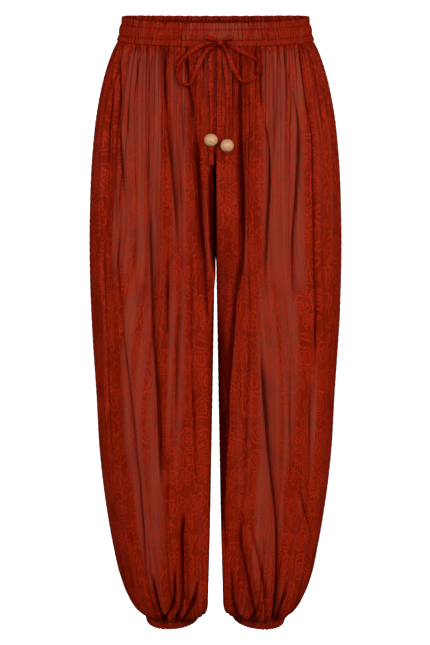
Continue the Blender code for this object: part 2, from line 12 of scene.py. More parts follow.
import bmesh
import bpy
import numpy as np
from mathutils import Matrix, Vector


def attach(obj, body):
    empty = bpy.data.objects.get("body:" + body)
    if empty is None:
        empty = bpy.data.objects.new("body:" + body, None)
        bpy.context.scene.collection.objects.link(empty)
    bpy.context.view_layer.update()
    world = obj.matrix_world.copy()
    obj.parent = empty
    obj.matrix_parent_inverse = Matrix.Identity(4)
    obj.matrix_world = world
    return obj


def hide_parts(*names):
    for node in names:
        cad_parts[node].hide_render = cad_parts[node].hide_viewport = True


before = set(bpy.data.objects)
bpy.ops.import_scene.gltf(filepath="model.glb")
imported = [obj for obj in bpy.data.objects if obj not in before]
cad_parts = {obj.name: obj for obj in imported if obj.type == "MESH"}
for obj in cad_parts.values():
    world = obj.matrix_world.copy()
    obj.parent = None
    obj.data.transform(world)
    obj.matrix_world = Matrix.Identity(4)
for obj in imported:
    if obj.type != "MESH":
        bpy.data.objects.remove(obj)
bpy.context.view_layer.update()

BODY = "root"

# ---------------------------------------------------------------- tables
Section = namedtuple("Section", "height half_width leg_gap front_depth back_depth")
Fold = namedtuple("Fold", "top foot across_top across_foot reach rise")
Crease = namedtuple("Crease", "lean depth valley crest ridge lap stops")
Recess = namedtuple("Recess", "height edge step back")
Strip = namedtuple("Strip", "top foot across_top across_foot half_width strength")
Gathers = namedtuple("Gathers", "count depths ends start fade widen drift")
BandRow = namedtuple("BandRow", "height half_width front_depth back_depth")
Route = namedtuple("Route", "x height stand_off roll spread")
Bead = namedtuple("Bead", "x height tail_end")


def in_metres(kind, lengths, rows):
    """Rows of one kind, with so many leading values turned from millimetres to metres."""
    return tuple(kind(*(value / 1000.0 if place < lengths else value for place, value in enumerate(row)))
                 for row in rows)


def read_creases(rows):
    """Creases from rows of lean, five sizes and the stops."""
    creases = []
    for lean, depth, valley, crest, ridge, lap, *stops in rows:
        sizes = (size / 1000.0 for size in (depth, valley, crest, ridge, lap))
        creases.append(Crease(lean, *sizes, np.array(stops)[::-1] / (1000.0, 1000.0, 1.0)))
    return creases


# The plain cloth at falling heights.
SECTIONS = in_metres(Section, 5, (
    (-18.8, 150, 1.2, 101, 104.5), (-30, 156.2, 1.2, 104.5, 108.5), (-46.5, 162.6, 1.2, 108, 112.5),
    (-73, 170.8, 1.2, 112, 117.5), (-119, 180.8, 1.2, 117.5, 124.5), (-189, 189.2, 1.2, 121.5, 130.5),
    (-282, 193.8, 1.2, 122, 132), (-375, 194.2, 1.6, 120, 130), (-468, 190.8, 3.1, 117.5, 126),
    (-561, 185, 4.7, 114, 121), (-654, 180, 6.5, 109.5, 115.5), (-747, 169, 8.2, 103.5, 108.5),
    (-794, 161, 9.3, 99, 103.5), (-840, 150, 10.5, 91.5, 96), (-864, 140.5, 11.2, 81.5, 85.5),
    (-885, 127.5, 13, 68, 71.5), (-895.5, 116.5, 18.5, 51, 53), (-901, 108.8, 25.6, 40.5, 40.5),
))

# Broad folds, as in the part: half width is reach, and rise is below nothing for a trough.
FOLDS = {
    "leg_front_left": in_metres(Fold, 6, (
        (-80, -330, 147, 170, 22, -6.1), (-60, -260, 117, 122, 20, 6.1), (-300, -680, 146, 120, 26, 6.8),
        (-100, -320, 72, 59, 20, -6.1), (-270, -700, 97, 83, 24, -6.1), (-90, -460, 32, 13, 16, -8.1),
        (-130, -420, 12, 8, 14, 8.1), (-640, -885, 114, 84, 22, -6.1), (-660, -880, 70, 60, 18, 6.8),
        (-740, -890, 45, 46, 16, -6.1),
    )),
    "leg_front_right": in_metres(Fold, 6, (
        (-60, -340, 41, 43, 18, -8.8), (-330, -660, 43, 17, 18, -8.8), (-100, -370, 72, 74, 20, 6.8),
        (-120, -410, 120, 117, 24, -6.1), (-110, -470, 140, 152, 22, 6.1), (-480, -780, 50, 42, 18, 6.8),
        (-500, -870, 69, 90, 20, -6.8), (-500, -700, 112, 112, 24, 5.4), (-530, -770, 145, 148, 22, -5.4),
        (-750, -885, 54, 72, 16, 6.1),
    )),
    "leg_back_left": in_metres(Fold, 6, (
        (-70, -300, 135, 158, 22, -6.8), (-80, -380, 95, 92, 22, 6.8), (-110, -470, 55, 45, 20, -7.4),
        (-340, -740, 150, 128, 26, 6.8), (-420, -800, 85, 76, 24, 6.1), (-560, -880, 55, 62, 20, -6.8),
    )),
    "leg_back_right": in_metres(Fold, 6, (
        (-60, -360, 125, 148, 22, 6.8), (-90, -330, 83, 78, 20, -6.8), (-100, -520, 45, 36, 20, 7.4),
        (-380, -700, 140, 132, 24, -6.8), (-430, -860, 98, 80, 24, 6.1), (-600, -880, 50, 60, 18, -6.1),
    )),
}

# Creases: a valley of some depth and half width, and beside it, on the side
# it leans to (-1 towards the side seam, 1 towards the centre), a crest that laps over it.
# A row is lean, depth, valley, crest, ridge and lap, then stops of height, across and the
# share of the full depth.
CREASES = {
    "leg_front_left": read_creases((
        (1, 6, 7, 2, 12, 2, (-85, 166, 0), (-120, 169, 1), (-240, 177, 0.9), (-320, 181, 0)),
        (-1, 5, 6.5, 1.5, 10, 1, (-120, 158, 0), (-170, 164, 1), (-260, 172, 0.8), (-330, 176, 0)),
        (1, 15, 8.5, 4, 10, 3, (-18, 137, 0.9), (-28, 140, 1.4), (-48, 144, 1.3), (-70, 144, 0.9),
         (-95, 143, 1), (-141, 144.5, 1), (-180, 142, 0.9), (-215, 139, 0.5), (-280, 136, 0)),
        (1, 10, 8.5, 3, 10, 1, (-26, 150, 0.4), (-51, 156.5, 1), (-98, 157, 1), (-141, 161, 0.9),
         (-200, 165, 0)),
        (-1, 6, 5.5, 1.5, 9, 1, (-18, 18, 0.6), (-51, 18, 1), (-73, 15, 0.8), (-110, 13.5, 0)),
        (-1, 6.5, 6.5, 3, 12, 2, (-18, 111, 0.3), (-40, 116, 1), (-110, 117, 0.9), (-190, 117, 0.6),
         (-290, 120, 0)),
        (1, 6, 7, 3, 12, 2, (-18, 92, 0.3), (-40, 97, 1), (-120, 98, 0.7), (-200, 99, 0.8),
         (-285, 98, 0.3), (-330, 97, 0)),
        (-1, 10.5, 8, 3, 12, 4, (-18, 74, 0.3), (-40, 76, 1), (-110, 75, 1), (-150, 72, 0.9),
         (-210, 66, 0.8), (-297, 59, 0.6), (-350, 58, 0)),
        (1, 3.5, 6, 1, 9, 1, (-200, 87, 0), (-250, 88, 1), (-330, 88, 0.7), (-380, 87, 0)),
        (-1, 4.5, 6, 1.5, 9, 1, (-30, 55, 0.2), (-60, 55, 0.9), (-130, 57, 0.6), (-190, 56, 1),
         (-275, 51, 0.8), (-330, 49, 0)),
        (1, 13, 8.5, 3, 10, 2, (-18, 44, 0.4), (-32, 43.5, 0.9), (-51, 42, 1), (-73, 39.8, 1),
         (-96, 37.5, 1), (-118, 34, 1), (-141, 31, 1), (-201, 26, 1), (-231, 23.5, 1), (-291, 20.2, 1),
         (-321, 17.5, 0.95), (-342, 15.2, 0.8), (-361, 13.2, 0.6), (-385, 12, 0.35), (-440, 12, 0)),
        (1, 4, 5, 1.5, 8, 1, (-150, 18, 0), (-190, 15, 1), (-250, 9, 0.9), (-300, 7, 0)),
        (-1, 3.5, 5, 2.5, 7, 1, (-310, 172, 0), (-350, 170, 1), (-480, 166, 0.7), (-600, 162, 1),
         (-680, 158, 0)),
        (1, 6.5, 9, 3.5, 15, 3, (-290, 146, 0), (-330, 145, 0.8), (-430, 139, 0.7), (-540, 128, 1),
         (-620, 120, 0.9), (-660, 118, 0.8), (-760, 111, 1), (-842, 104, 0.8), (-886, 90, 0.6),
         (-901, 84, 0.3)),
        (-1, 8, 8, 3, 13, 3, (-270, 98, 0), (-320, 97, 0.9), (-450, 94, 0.8), (-560, 87, 1),
         (-657, 84, 0.8), (-720, 83, 0)),
        (1, 6.5, 6, 2.5, 10, 3, (-330, 71, 0), (-370, 71, 1), (-450, 72, 1), (-490, 72, 0)),
        (-1, 5, 7, 2, 10, 2, (-300, 66, 0), (-400, 55, 0.3), (-470, 58, 0.9), (-546, 60, 1),
         (-640, 62, 0.3), (-700, 64, 0)),
        (-1, 5.5, 7, 2.5, 10, 2, (-300, 37, 0), (-360, 37, 0.8), (-480, 37, 0.7), (-600, 33, 0.9),
         (-700, 30, 0.4), (-760, 28, 0)),
        (1, 4, 6, 2, 9, 1, (-620, 73, 0), (-660, 72, 0.9), (-757, 74, 0.8), (-800, 75, 0)),
        (1, 11, 6, 2.5, 10, 3, (-730, 47, 0), (-765, 50, 1), (-828, 49, 0.7), (-860, 50, 0.8),
         (-885, 58, 1), (-901, 62, 0.4)),
        (1, 10, 6, 2.5, 10, 3, (-800, 61, 0), (-826, 61, 1), (-862, 64, 0.9), (-886, 75, 1),
         (-901, 74, 0.4)),
        (-1, 13, 11, 3, 12, 3, (-822, 96, 0), (-845, 94, 0.8), (-872, 87, 1), (-890, 80, 1),
         (-901, 78, 0.4)),
        (1, 11, 7, 3, 12, 4, (-830, 26, 0), (-852, 30, 0.9), (-870, 37, 1), (-887, 46, 1),
         (-901, 50, 0.4)),
    )),
    "leg_front_right": read_creases((
        (1, 7.5, 5.5, 1.5, 8, 1, (-45, 24.5, 0), (-73, 25, 0.9), (-100, 25.5, 1), (-141, 26, 0.9),
         (-165, 25.8, 0.2), (-200, 25.5, 0)),
        (-1, 15, 7.5, 4, 14, 5, (-18, 40, 0.3), (-50, 39.2, 0.8), (-80, 38.8, 1), (-141, 38.5, 1),
         (-201, 40, 1), (-261, 42, 1), (-321, 42.4, 1), (-351, 41.2, 0.85), (-381, 36.8, 0.45),
         (-411, 31.8, 0.3), (-471, 26.8, 0.25), (-531, 20.8, 0.3), (-561, 18, 0.4), (-591, 16.5, 0.45),
         (-681, 12.5, 0.4), (-760, 10, 0)),
        (1, 7.5, 5.2, 1.5, 8, 1, (-18, 12.5, 0.7), (-32, 12.2, 1), (-60, 12, 0.9), (-110, 11.5, 0.45),
         (-150, 9.5, 0)),
        (-1, 6.5, 5, 1.5, 8, 1, (-18, 50, 0.5), (-45, 50.2, 1), (-75, 49.8, 0.9), (-100, 48, 0.5),
         (-130, 47, 0)),
        (1, 15, 15, 0, 10, 0, (-480, 16, 0), (-520, 12, 0.5), (-561, 10, 0.9), (-651, 9, 0.8),
         (-760, 10, 0.5), (-840, 14, 0)),
        (-1, 8, 6.5, 3, 11, 3, (-18, 69, 0.3), (-50, 68, 1), (-111, 69.5, 0.8), (-153, 76.5, 1),
         (-330, 76.5, 0.9), (-400, 73, 0)),
        (1, 4.5, 6, 2, 10, 2, (-18, 90, 0.3), (-45, 92, 1), (-139, 92, 0.8), (-226, 92, 0.8),
         (-290, 91, 0)),
        (1, 6.5, 6.5, 2.5, 11, 2, (-18, 103, 0.3), (-45, 106, 1), (-82, 113, 0.8), (-126, 122, 1),
         (-240, 122, 0.8), (-318, 116, 0.8), (-384, 116, 0.6), (-430, 116, 0)),
        (-1, 10, 7.2, 3.5, 11, 3, (-18, 127, 0.4), (-34, 128, 1), (-51, 130, 1), (-96, 135.5, 1),
         (-141, 141, 1), (-171, 144, 0.9), (-230, 146, 0.8), (-358, 148, 0.8), (-465, 153, 0.7),
         (-520, 154, 0)),
        (1, 4.5, 6, 1, 9, 1, (-70, 160, 0), (-110, 167, 0.9), (-196, 180, 0.9), (-270, 184, 0)),
        (-1, 3, 6, 1.5, 9, 1, (-160, 58, 0), (-220, 58, 0.8), (-330, 59, 0.9), (-400, 60, 0)),
        (-1, 7, 9, 3, 13, 3, (-330, 52, 0), (-400, 51, 0.8), (-484, 50, 0.9), (-600, 47, 0.9),
         (-721, 43, 0.8), (-774, 39, 1), (-842, 53, 0.8), (-886, 62, 0.8), (-901, 62, 0.4)),
        (1, 7, 7.5, 2.5, 12, 3, (-470, 67, 0), (-520, 70, 0.9), (-645, 80, 0.8), (-774, 93, 1),
         (-872, 89, 0.8), (-901, 82, 0.3)),
        (-1, 4.5, 7, 1.5, 11, 1, (-470, 112, 0), (-530, 112, 0.9), (-645, 112, 0.9), (-720, 112, 0)),
        (1, 5, 7, 1.5, 11, 1, (-500, 143, 0), (-550, 145, 0.9), (-645, 147, 0.8), (-700, 147, 0)),
        (-1, 6, 7, 2, 10, 2, (-670, 126, 0), (-705, 131, 0.9), (-766, 147, 0.8), (-800, 150, 0)),
        (1, 5.5, 6, 2, 10, 2, (-730, 53, 0), (-765, 56, 0.9), (-837, 73, 1), (-886, 74, 1),
         (-901, 72, 0.4)),
        (-1, 8, 6, 2, 9, 3, (-800, 24, 0), (-835, 26, 0.9), (-872, 31, 1), (-889, 40, 1), (-901, 45, 0.4)),
        (1, 11, 8, 2.5, 11, 3, (-830, 93, 0), (-856, 91, 0.9), (-884, 87, 1), (-901, 84, 0.4)),
        (-1, 11, 8, 2.5, 11, 3, (-828, 112, 0), (-852, 107, 0.9), (-882, 98, 1), (-901, 93, 0.4)),
    )),
    "leg_back_left": read_creases((
        (1, 8, 7, 2.5, 12, 3, (-18, 128, 0.3), (-45, 133, 1), (-140, 142, 0.8), (-260, 150, 0.7),
         (-330, 152, 0)),
        (-1, 6, 6.5, 2, 11, 2, (-18, 104, 0.3), (-45, 108, 1), (-150, 112, 0.7), (-230, 112, 0)),
        (1, 11, 8, 3, 13, 4, (-18, 71, 0.3), (-50, 73, 1), (-180, 70, 1), (-300, 64, 0.8), (-420, 60, 0.5),
         (-500, 59, 0)),
        (-1, 5, 6, 2, 10, 2, (-18, 50, 0.3), (-50, 50, 1), (-160, 47, 0.6), (-220, 45, 0)),
        (-1, 12, 8, 3, 12, 4, (-60, 29, 0.2), (-130, 27, 1), (-300, 22, 0.9), (-430, 17, 0.5),
         (-520, 15, 0)),
        (1, 6.5, 8, 3, 14, 3, (-250, 128, 0), (-320, 127, 0.9), (-500, 119, 0.8), (-650, 108, 0.9),
         (-760, 104, 0)),
        (-1, 6, 8, 2.5, 13, 3, (-370, 90, 0), (-450, 88, 0.9), (-600, 80, 0.8), (-700, 77, 0.8),
         (-820, 75, 0.9), (-886, 72, 0.8), (-901, 71, 0.4)),
        (1, 5, 7, 2, 11, 2, (-430, 45, 0), (-520, 45, 0.9), (-680, 41, 0.8), (-780, 42, 0)),
        (-1, 4.5, 6, 2, 10, 2, (-380, 165, 0), (-450, 163, 0.9), (-600, 156, 0.8), (-690, 151, 0)),
        (1, 11, 7.5, 2.5, 12, 3, (-790, 110, 0), (-840, 105, 0.9), (-880, 92, 1), (-901, 86, 0.4)),
        (-1, 10, 7, 2.5, 11, 3, (-770, 54, 0), (-820, 55, 0.8), (-880, 61, 1), (-901, 61, 0.4)),
        (1, 10, 7, 2.5, 11, 3, (-820, 28, 0), (-850, 32, 0.9), (-885, 46, 1), (-901, 50, 0.4)),
    )),
    "leg_back_right": read_creases((
        (-1, 7.5, 7, 2.5, 12, 3, (-18, 120, 0.3), (-45, 124, 1), (-150, 135, 0.8), (-290, 141, 0.8),
         (-370, 142, 0)),
        (1, 6, 6.5, 2, 11, 2, (-18, 92, 0.3), (-45, 96, 1), (-130, 99, 0.8), (-210, 100, 0)),
        (-1, 9, 7.5, 3, 12, 3, (-18, 62, 0.3), (-50, 63, 1), (-170, 62, 0.9), (-340, 57, 0.8),
         (-450, 56, 0)),
        (1, 13, 8, 3, 12, 4, (-40, 34, 0.2), (-110, 31, 1), (-280, 25, 1), (-420, 18, 0.6), (-540, 16, 0)),
        (1, 5, 6.5, 2, 11, 2, (-150, 163, 0), (-210, 168, 0.9), (-340, 172, 0.8), (-430, 171, 0)),
        (-1, 7, 8, 3, 13, 3, (-300, 110, 0), (-380, 109, 0.9), (-540, 100, 0.9), (-680, 92, 0.8),
         (-800, 89, 0.9), (-886, 80, 0.8), (-901, 78, 0.4)),
        (1, 5, 7, 2, 11, 2, (-400, 72, 0), (-470, 71, 0.9), (-620, 66, 0.8), (-720, 64, 0)),
        (-1, 4.5, 7, 2, 11, 2, (-520, 140, 0), (-580, 139, 0.9), (-700, 132, 0.8), (-780, 130, 0)),
        (-1, 5, 6.5, 2, 10, 2, (-560, 40, 0), (-620, 38, 0.9), (-740, 36, 0.8), (-800, 38, 0)),
        (1, 10, 7, 2.5, 11, 3, (-780, 57, 0), (-830, 58, 0.9), (-882, 64, 1), (-901, 64, 0.4)),
        (-1, 11, 7.5, 2.5, 12, 3, (-800, 120, 0), (-845, 113, 0.9), (-882, 98, 1), (-901, 91, 0.4)),
        (-1, 9.5, 7, 2.5, 11, 3, (-815, 30, 0), (-850, 33, 0.9), (-885, 47, 1), (-901, 52, 0.4)),
    )),
}

# Where the cloth turns back towards the space between the legs: height, across of the
# fold's edge, and how far back the cloth goes inside it.
RECESSES = {
    "leg_front_left": (
        in_metres(Recess, 4, (
            (-185, 18, 0, 0), (-215, 17.8, 5, 12), (-231, 17.2, 7, 18), (-261, 14.2, 12, 26),
            (-291, 11.5, 16, 32), (-321, 10.8, 18, 34), (-342, 8.8, 16, 30), (-360, 5.8, 12, 22),
            (-372, 3.6, 6, 9), (-382, 3, 0, 0),
        )),
        in_metres(Recess, 4, (
            (-365, 16, 0, 0), (-395, 15.5, 4, 4.6), (-441, 15, 5.2, 5.6), (-471, 14, 5.2, 5.6),
            (-531, 13.2, 5, 5.6), (-591, 11.8, 3.6, 4.4), (-650, 10.5, 0, 0),
        )),
    ),
    "leg_front_right": (
        in_metres(Recess, 4, (
            (-285, 40, 0, 0), (-321, 39.5, 3.6, 4), (-351, 39, 5.6, 6), (-381, 35.5, 6.6, 7),
            (-411, 31.8, 5.6, 7), (-441, 30.8, 6.8, 9), (-471, 28.7, 7.4, 13), (-501, 26.5, 7.8, 19),
            (-531, 24, 8.2, 26), (-561, 20.8, 9, 30), (-591, 19.2, 11, 30), (-681, 15, 13, 30),
            (-741, 12, 12, 24), (-791, 10, 7, 14), (-840, 9.5, 0, 0),
        )),
    ),
    "leg_back_left": (
        in_metres(Recess, 4, (
            (-200, 22, 0, 0), (-300, 20, 6, 18), (-500, 16, 8, 22), (-700, 14, 4, 10), (-790, 14, 0, 0),
        )),
    ),
    "leg_back_right": (
        in_metres(Recess, 4, (
            (-220, 26, 0, 0), (-330, 23, 7, 20), (-520, 18, 8, 22), (-680, 15, 4, 12), (-790, 14, 0, 0),
        )),
    ),
}

# Where a pale pinkish sheen is painted in long strips down the legs.
STRIPS = {
    "leg_front_left": in_metres(Strip, 5, (
        (-18, -460, 108, 109, 30, 0.85), (-300, -740, 110, 120, 26, 0.62), (-540, -890, 112, 90, 21, 0.8),
        (-50, -400, 56, 52, 11, 0.75), (-300, -700, 58, 62, 13, 0.75), (-190, -420, 150, 150, 6, 0.6),
        (-20, -160, 14, 6, 12, 0.7),
    )),
    "leg_front_right": in_metres(Strip, 5, (
        (-18, -480, 104, 103, 30, 0.9), (-290, -740, 99, 88, 30, 0.74), (-540, -890, 86, 76, 21, 0.75),
        (-375, -485, 159, 159, 9, 0.9), (-450, -720, 150, 144, 8, 0.7), (-30, -170, 70, 74, 8, 0.6),
        (-20, -150, 14, 20, 10, 0.6),
    )),
    "leg_back_left": in_metres(Strip, 5, (
        (-18, -420, 110, 112, 28, 0.9), (-380, -860, 104, 88, 24, 0.8), (-60, -500, 52, 50, 12, 0.7),
    )),
    "leg_back_right": in_metres(Strip, 5, (
        (-18, -480, 98, 100, 27, 0.9), (-430, -850, 96, 84, 26, 0.8), (-60, -420, 150, 152, 10, 0.7),
    )),
}

# The waistband: a frilled header, a channel full of elastic, and a lower band.
BAND_ROWS = in_metres(BandRow, 4, (
    (17.5, 142.4, 96.2, 99), (7.5, 144.6, 98.2, 101.2), (-0.5, 146.7, 100.6, 103.8),
    (-8.8, 148.2, 100.2, 103.6), (-18.5, 150.8, 102, 105.6),
))

# The drawstring: a flat tape.  Rows are read as x, height, stand-off from the cloth,
# roll in degrees (0 flat on the cloth, 90 on edge) and the share of its full width.
ROUTES = {
    "drawstring_arm_left": (10, in_metres(Route, 3, (
        (-16, -14.5, 1.4, 0, 0.8), (-10, -16.3, 2.8, 10, 0.9), (-4.5, -18.8, 4.8, 40, 0.75),
        (1.1, -22.1, 7.2, 80, 0.55),
    ))),
    "drawstring_arm_right": (8, in_metres(Route, 3, (
        (25, -15, 1.4, 0, 0.8), (20.5, -16.6, 3, -15, 0.9), (16.2, -18.8, 5.2, -45, 0.7),
        (11.8, -21.4, 7.2, -80, 0.55),
    ))),
    "drawstring_loop_left": (30, in_metres(Route, 3, (
        (0.8, -24.5, 8.6, 80, 0.55), (-10, -24, 10, 40, 0.85), (-23, -28.5, 8.5, 10, 1),
        (-36, -36, 8, 20, 1), (-48, -46.5, 8, 45, 1), (-55.5, -58, 8.2, 52, 1), (-57.8, -69, 8.2, 62, 1),
        (-54.8, -79.5, 8.2, 62, 1), (-47, -86.5, 8.2, 56, 1), (-39, -86.2, 8.2, 56, 1),
        (-34.5, -79, 8.5, 46, 1), (-31, -69, 8.5, 30, 1), (-26, -57.7, 8.8, 10, 1),
        (-19.5, -45, 9.5, 20, 1), (-11, -35, 10.5, 50, 0.8), (1.8, -27.2, 8.8, 85, 0.55),
    ))),
    "drawstring_loop_right": (30, in_metres(Route, 3, (
        (12.4, -24.8, 8.6, -80, 0.55), (21.5, -27.5, 9.8, -45, 0.85), (31, -32.5, 8.5, -10, 1),
        (43, -39, 8, -15, 1), (56, -45.5, 8, -35, 1), (65.5, -53, 8.2, -55, 1), (67.6, -62, 8.2, -62, 1),
        (64, -71, 8.2, -60, 1), (56, -78.5, 8.2, -56, 1), (46, -81.8, 8.2, -56, 1),
        (38, -79.5, 8.5, -52, 1), (31.8, -71.5, 8.8, -38, 1), (26.2, -61, 9, -15, 1),
        (21, -48, 9.8, -20, 1), (16.5, -37, 10.8, -50, 0.8), (11, -27.7, 8.8, -85, 0.55),
    ))),
    "drawstring_end_left": (20, in_metres(Route, 3, (
        (4.6, -29.1, 6.4, 85, 0.55), (-1, -35, 5.5, 60, 0.75), (-6.2, -43, 5.5, 20, 1),
        (-7.8, -53, 5.5, 5, 1), (-7.3, -68, 5, -20, 0.95), (-7.2, -90, 4.5, 10, 1),
        (-6.8, -115, 5, 45, 0.9), (-6.3, -138, 7.6, 20, 0.8), (-6.8, -158.8, 10, 5, 0.5),
    ))),
    "drawstring_end_right": (20, in_metres(Route, 3, (
        (8.8, -29.1, 6.4, -85, 0.55), (10.6, -36, 5.5, -60, 0.75), (12.8, -45, 5.2, -20, 1),
        (14.8, -60, 5, -5, 1), (17, -80, 5, 20, 0.95), (18, -103, 4.5, -15, 1),
        (18.1, -126, 5.2, -45, 0.9), (17.6, -146, 7.4, -20, 0.8), (17.3, -166.9, 9.4, -5, 0.5),
    ))),
}

# A stop knot and its tail: share of the way down, half width and half thickness.
STOP_KNOT = (
    (-0.1, 1.9, 1.4), (-0.03, 1.9, 1.4), (0, 2, 1.6), (0.06, 3.8, 3), (0.15, 4.5, 3.6), (0.24, 3.6, 2.8),
    (0.31, 1.8, 1.4), (0.45, 2.8, 1), (0.7, 3.4, 0.9), (1, 3.8, 0.9),
)

# ---------------------------------------------------------------- camera
CAMERA_DISTANCE = 4.0
CAMERA_ELEVATION = math.radians(5.3)
CAMERA_TARGET = Vector((-0.0008, 0.0, -0.4535))
CAMERA_LENS = 144.0
SENSOR_WIDTH = 36.0

# ---------------------------------------------------------------- sizes shared with the part
CLOTH_THICKNESS = 0.0006
SEAM_GAP = 0.0003
SIDE_SEAM_CALM = 0.06
INNER_SEAM_CALM = 0.10
OVAL_SPLIT_TOP = -0.080
OVAL_SPLIT_END = -0.175
CLEFT_TOP = -0.110
CROTCH = -0.362
CROTCH_OPENING = 0.018
CLEFT_TURN = 0.80
CLEFT_POWER = 2.3
HIP_ROUNDNESS = 2.3
LEG_OUTER_ROUNDNESS = 2.2
LEG_INNER_ROUNDNESS = 5.0
FRONT_ROUNDNESS = {
    -1: ((-0.901, -0.840, -0.270, -0.150), (5.0, 14.0, 16.0, 5.0)),
    1: ((-0.901, -0.840, -0.480, -0.360, -0.210, -0.150), (5.0, 14.0, 14.0, 40.0, 40.0, 5.0)),
}
FINE = np.linspace(0.0, 1.0, 181)
SLOPE_TURN = 0.002
SLOPE_RISE = 0.004
FRONT_DROP = 0.012
BACK_RISE = 0.004
DIP_END = -0.125
CUFF_LEAN = 0.32
CUFF_ROLL = {-1: 0.060, 1: 0.100}
LEAN_START = -0.780
PANEL_TOP = -0.0188
PANEL_FOOT = -0.9010
FOLD_FADE = 0.060

# A valley is steep on the side of its crest and gentle on the other, as shares of its
# width, and narrower near the waistband.
CREASE_DEPTH = 0.80
LAP_SHARE = 0.40
TOP_NARROW = 0.55
NARROW_ABOVE = -0.060
FULL_BELOW = -0.260
STEEP_SIDE = 0.40
GENTLE_SIDE = 1.15
LIP_BLUR = 0.0006

RECESS_EDGE = 0.0018
RECESS_RETURN = 0.0014
# Cloth that lies back in a recess is painted with shade, in full this far back.
RECESS_DARK = 0.009

# The cloth of a panel spreads from the side seam to the inner fold, where across falls to
# INNER_CORNER.  Its folds die away at the waistband and the cuff.
INNER_CORNER = 0.012
OUTER_SHARE = 0.80
TOP_CALM = 0.009
TOP_KEPT = 0.55
TOP_HOLD = 0.0016
TOP_LET = 1.2
FOOT_CALM = 0.007

# Small gathers and streaks, all drawn by a seeded generator.  A kind of gathers has its
# count, depths, the heights where they end and the one where they are deepest (start), how
# fast they fade, how much wider than drawn they are, and how far they drift sideways.
GATHER_SHARE = (0.13, 0.26)
GATHERS = {
    "waist": Gathers(21, (0.0014, 0.0036), (-0.560, -0.190), PANEL_TOP, 1.0, 1.25, 10.0),
    "cuff": Gathers(13, (0.0020, 0.0045), (-0.870, -0.800), -0.885, 1.3, 1.25, 0.0),
    "seam": Gathers(17, (0.0020, 0.0048), (-0.130, -0.045), PANEL_TOP, 0.8, 1.15, 0.0),
}
BAND_GATHER_PITCH = 0.0046
BAND_GATHER_DEPTH = 0.0019
BAND_GATHER_END = -0.055
BAND_GATHER_SWAY = ((0.35, 190.0, 0.0), (0.25, 83.0, 1.0))
STREAKS = 54
STREAK_DEPTH = (0.0003, 0.0010)
STREAK_REACH = (0.0022, 0.0060)
STREAK_LENGTH = (0.070, 0.260)
STREAK_SPAN = (-0.86, -0.04)
STREAK_DRIFT = 0.012
PANEL_SEEDS = {"leg_front_left": 11, "leg_front_right": 23, "leg_back_left": 37, "leg_back_right": 41}

STRIP_HEAD = 0.015
STRIP_TAIL = 0.130
WAIST_STRIP = -0.080
STRIP_EDGE = 0.55

# The seams: the cloth is drawn in along them and puckers.
SEAM_LAP = 0.0002
SEAM_LAP_REACH = 0.002
SEAM_DEPTH = 0.0012
SEAM_REACH = 0.0040
PUCKER_PITCH = 0.0085
PUCKER_RISE = 0.0005
PUCKER_REACH = 0.010

# How far round a point counts as near it, and how deep a full valley is: the relief sets the painted shade in
# the valleys.
RELIEF_REACH = 0.014
RELIEF_DEPTH = 0.0034
# Painted shade along the centre seam, near the waist.
SEAM_SHADE = 0.62
SEAM_SHADE_REACH = 0.0045
SEAM_SHADE_FOOT = -0.225
SEAM_SHADE_FADE = 0.040

# The cloth of a leg panel as it was cut, its points, and how it fans out of the waist.
PANEL_CUT = (0.385, 0.925)
PANEL_SHIFT = {(-1, -1): 0.0, (1, -1): 0.43, (1, 1): 0.91, (-1, 1): 1.37}
OUTER_COLUMNS = 241
INNER_COLUMNS = 60
PANEL_ROWS = 229
ROW_SHARES = (0.0, 0.16, 0.74, 1.0)
ROW_HEIGHTS = (PANEL_TOP, -0.130, -0.780, PANEL_FOOT)
ROW_BLUR = 4
INNER_REACH = 3
FAN_START = 0.112
FAN_TOP = -0.300
FAN_FOOT = -0.620

# The panels run on a little inside the waistband and the cuffs.
HIDDEN_RISE = 0.0035
HIDDEN_TUCK = 0.0006

# The waistband's lines from the top, its gathers, and how full its wall is.
BAND_TOP = 0.0175
BAND_UPPER_STITCH = 0.0075
BAND_LOWER_STITCH = -0.0088
BAND_FOOT = -0.0185
BAND_SEED = 5
BAND_COLUMNS = 1360
BAND_GATHERS = 176
BAND_BROAD_WAVES = 46
PLAIN_HALF_WIDTH = 0.0416
PLAIN_FADE = 0.010
PLAIN_SHARE = 0.55
HEADER_GATHER = 0.0015
HEADER_BROAD = 0.0008
HEADER_RISE = 0.0006
CHANNEL_GATHER = 0.0012
CHANNEL_PUFF = 0.0003
LOWER_GATHER = 0.0017
FOOT_PULL = 0.0009
STITCH_PULL = 0.0006
BAND_WALL = 0.0018
CHANNEL_WALL = 0.0020
ELASTIC = 0.0016
FOOT_WALL = 0.0022
FOOT_WALL_REACH = 0.0065
BAND_FULLNESS = 1.30
# The band's relief sets its painted valley shade, shifted darker over the whole band.
BAND_RELIEF = 0.0009
BAND_SHADE_SHIFT = -0.22
# A painted sheen on the front of the band, round its middle.
BAND_PAINTED_SHEEN = 0.80
SHEEN_CENTRE = 0.012
SHEEN_REACH = 0.095
# Painted shade on the inside of the band, from near its top downwards.
BAND_SHADE_TOP = 0.0152
BAND_SHADE_FADE = 0.009

# The cuffs: a casing round a narrow elastic.
CUFF_SEED = 60
CUFF_CENTRE = 0.0672
CUFF_HALF_WIDTH = 0.0416
CUFF_HALF_DEPTH = 0.0400
CUFF_ROUNDNESS = 2.15
CUFF_TOP = -0.9013
CUFF_FOOT = -0.9155
CUFF_COLUMNS = 360
CUFF_ROWS = 18
CUFF_BAND_GATHERS = 58
CUFF_BAND_GATHER = 0.0011
CUFF_HEM_WAVE = 0.0007
CUFF_HEM_PUFF = 0.0004
CUFF_PUFF = 0.0008
CUFF_PULL = 0.0007
CUFF_WALL = 0.0026
# The cuff's relief sets its painted valley shade, shifted lighter over the whole cuff.
CUFF_RELIEF = 0.0014
CUFF_SHADE_SHIFT = 0.5
CUFF_CUT = (0.34, 0.0145)

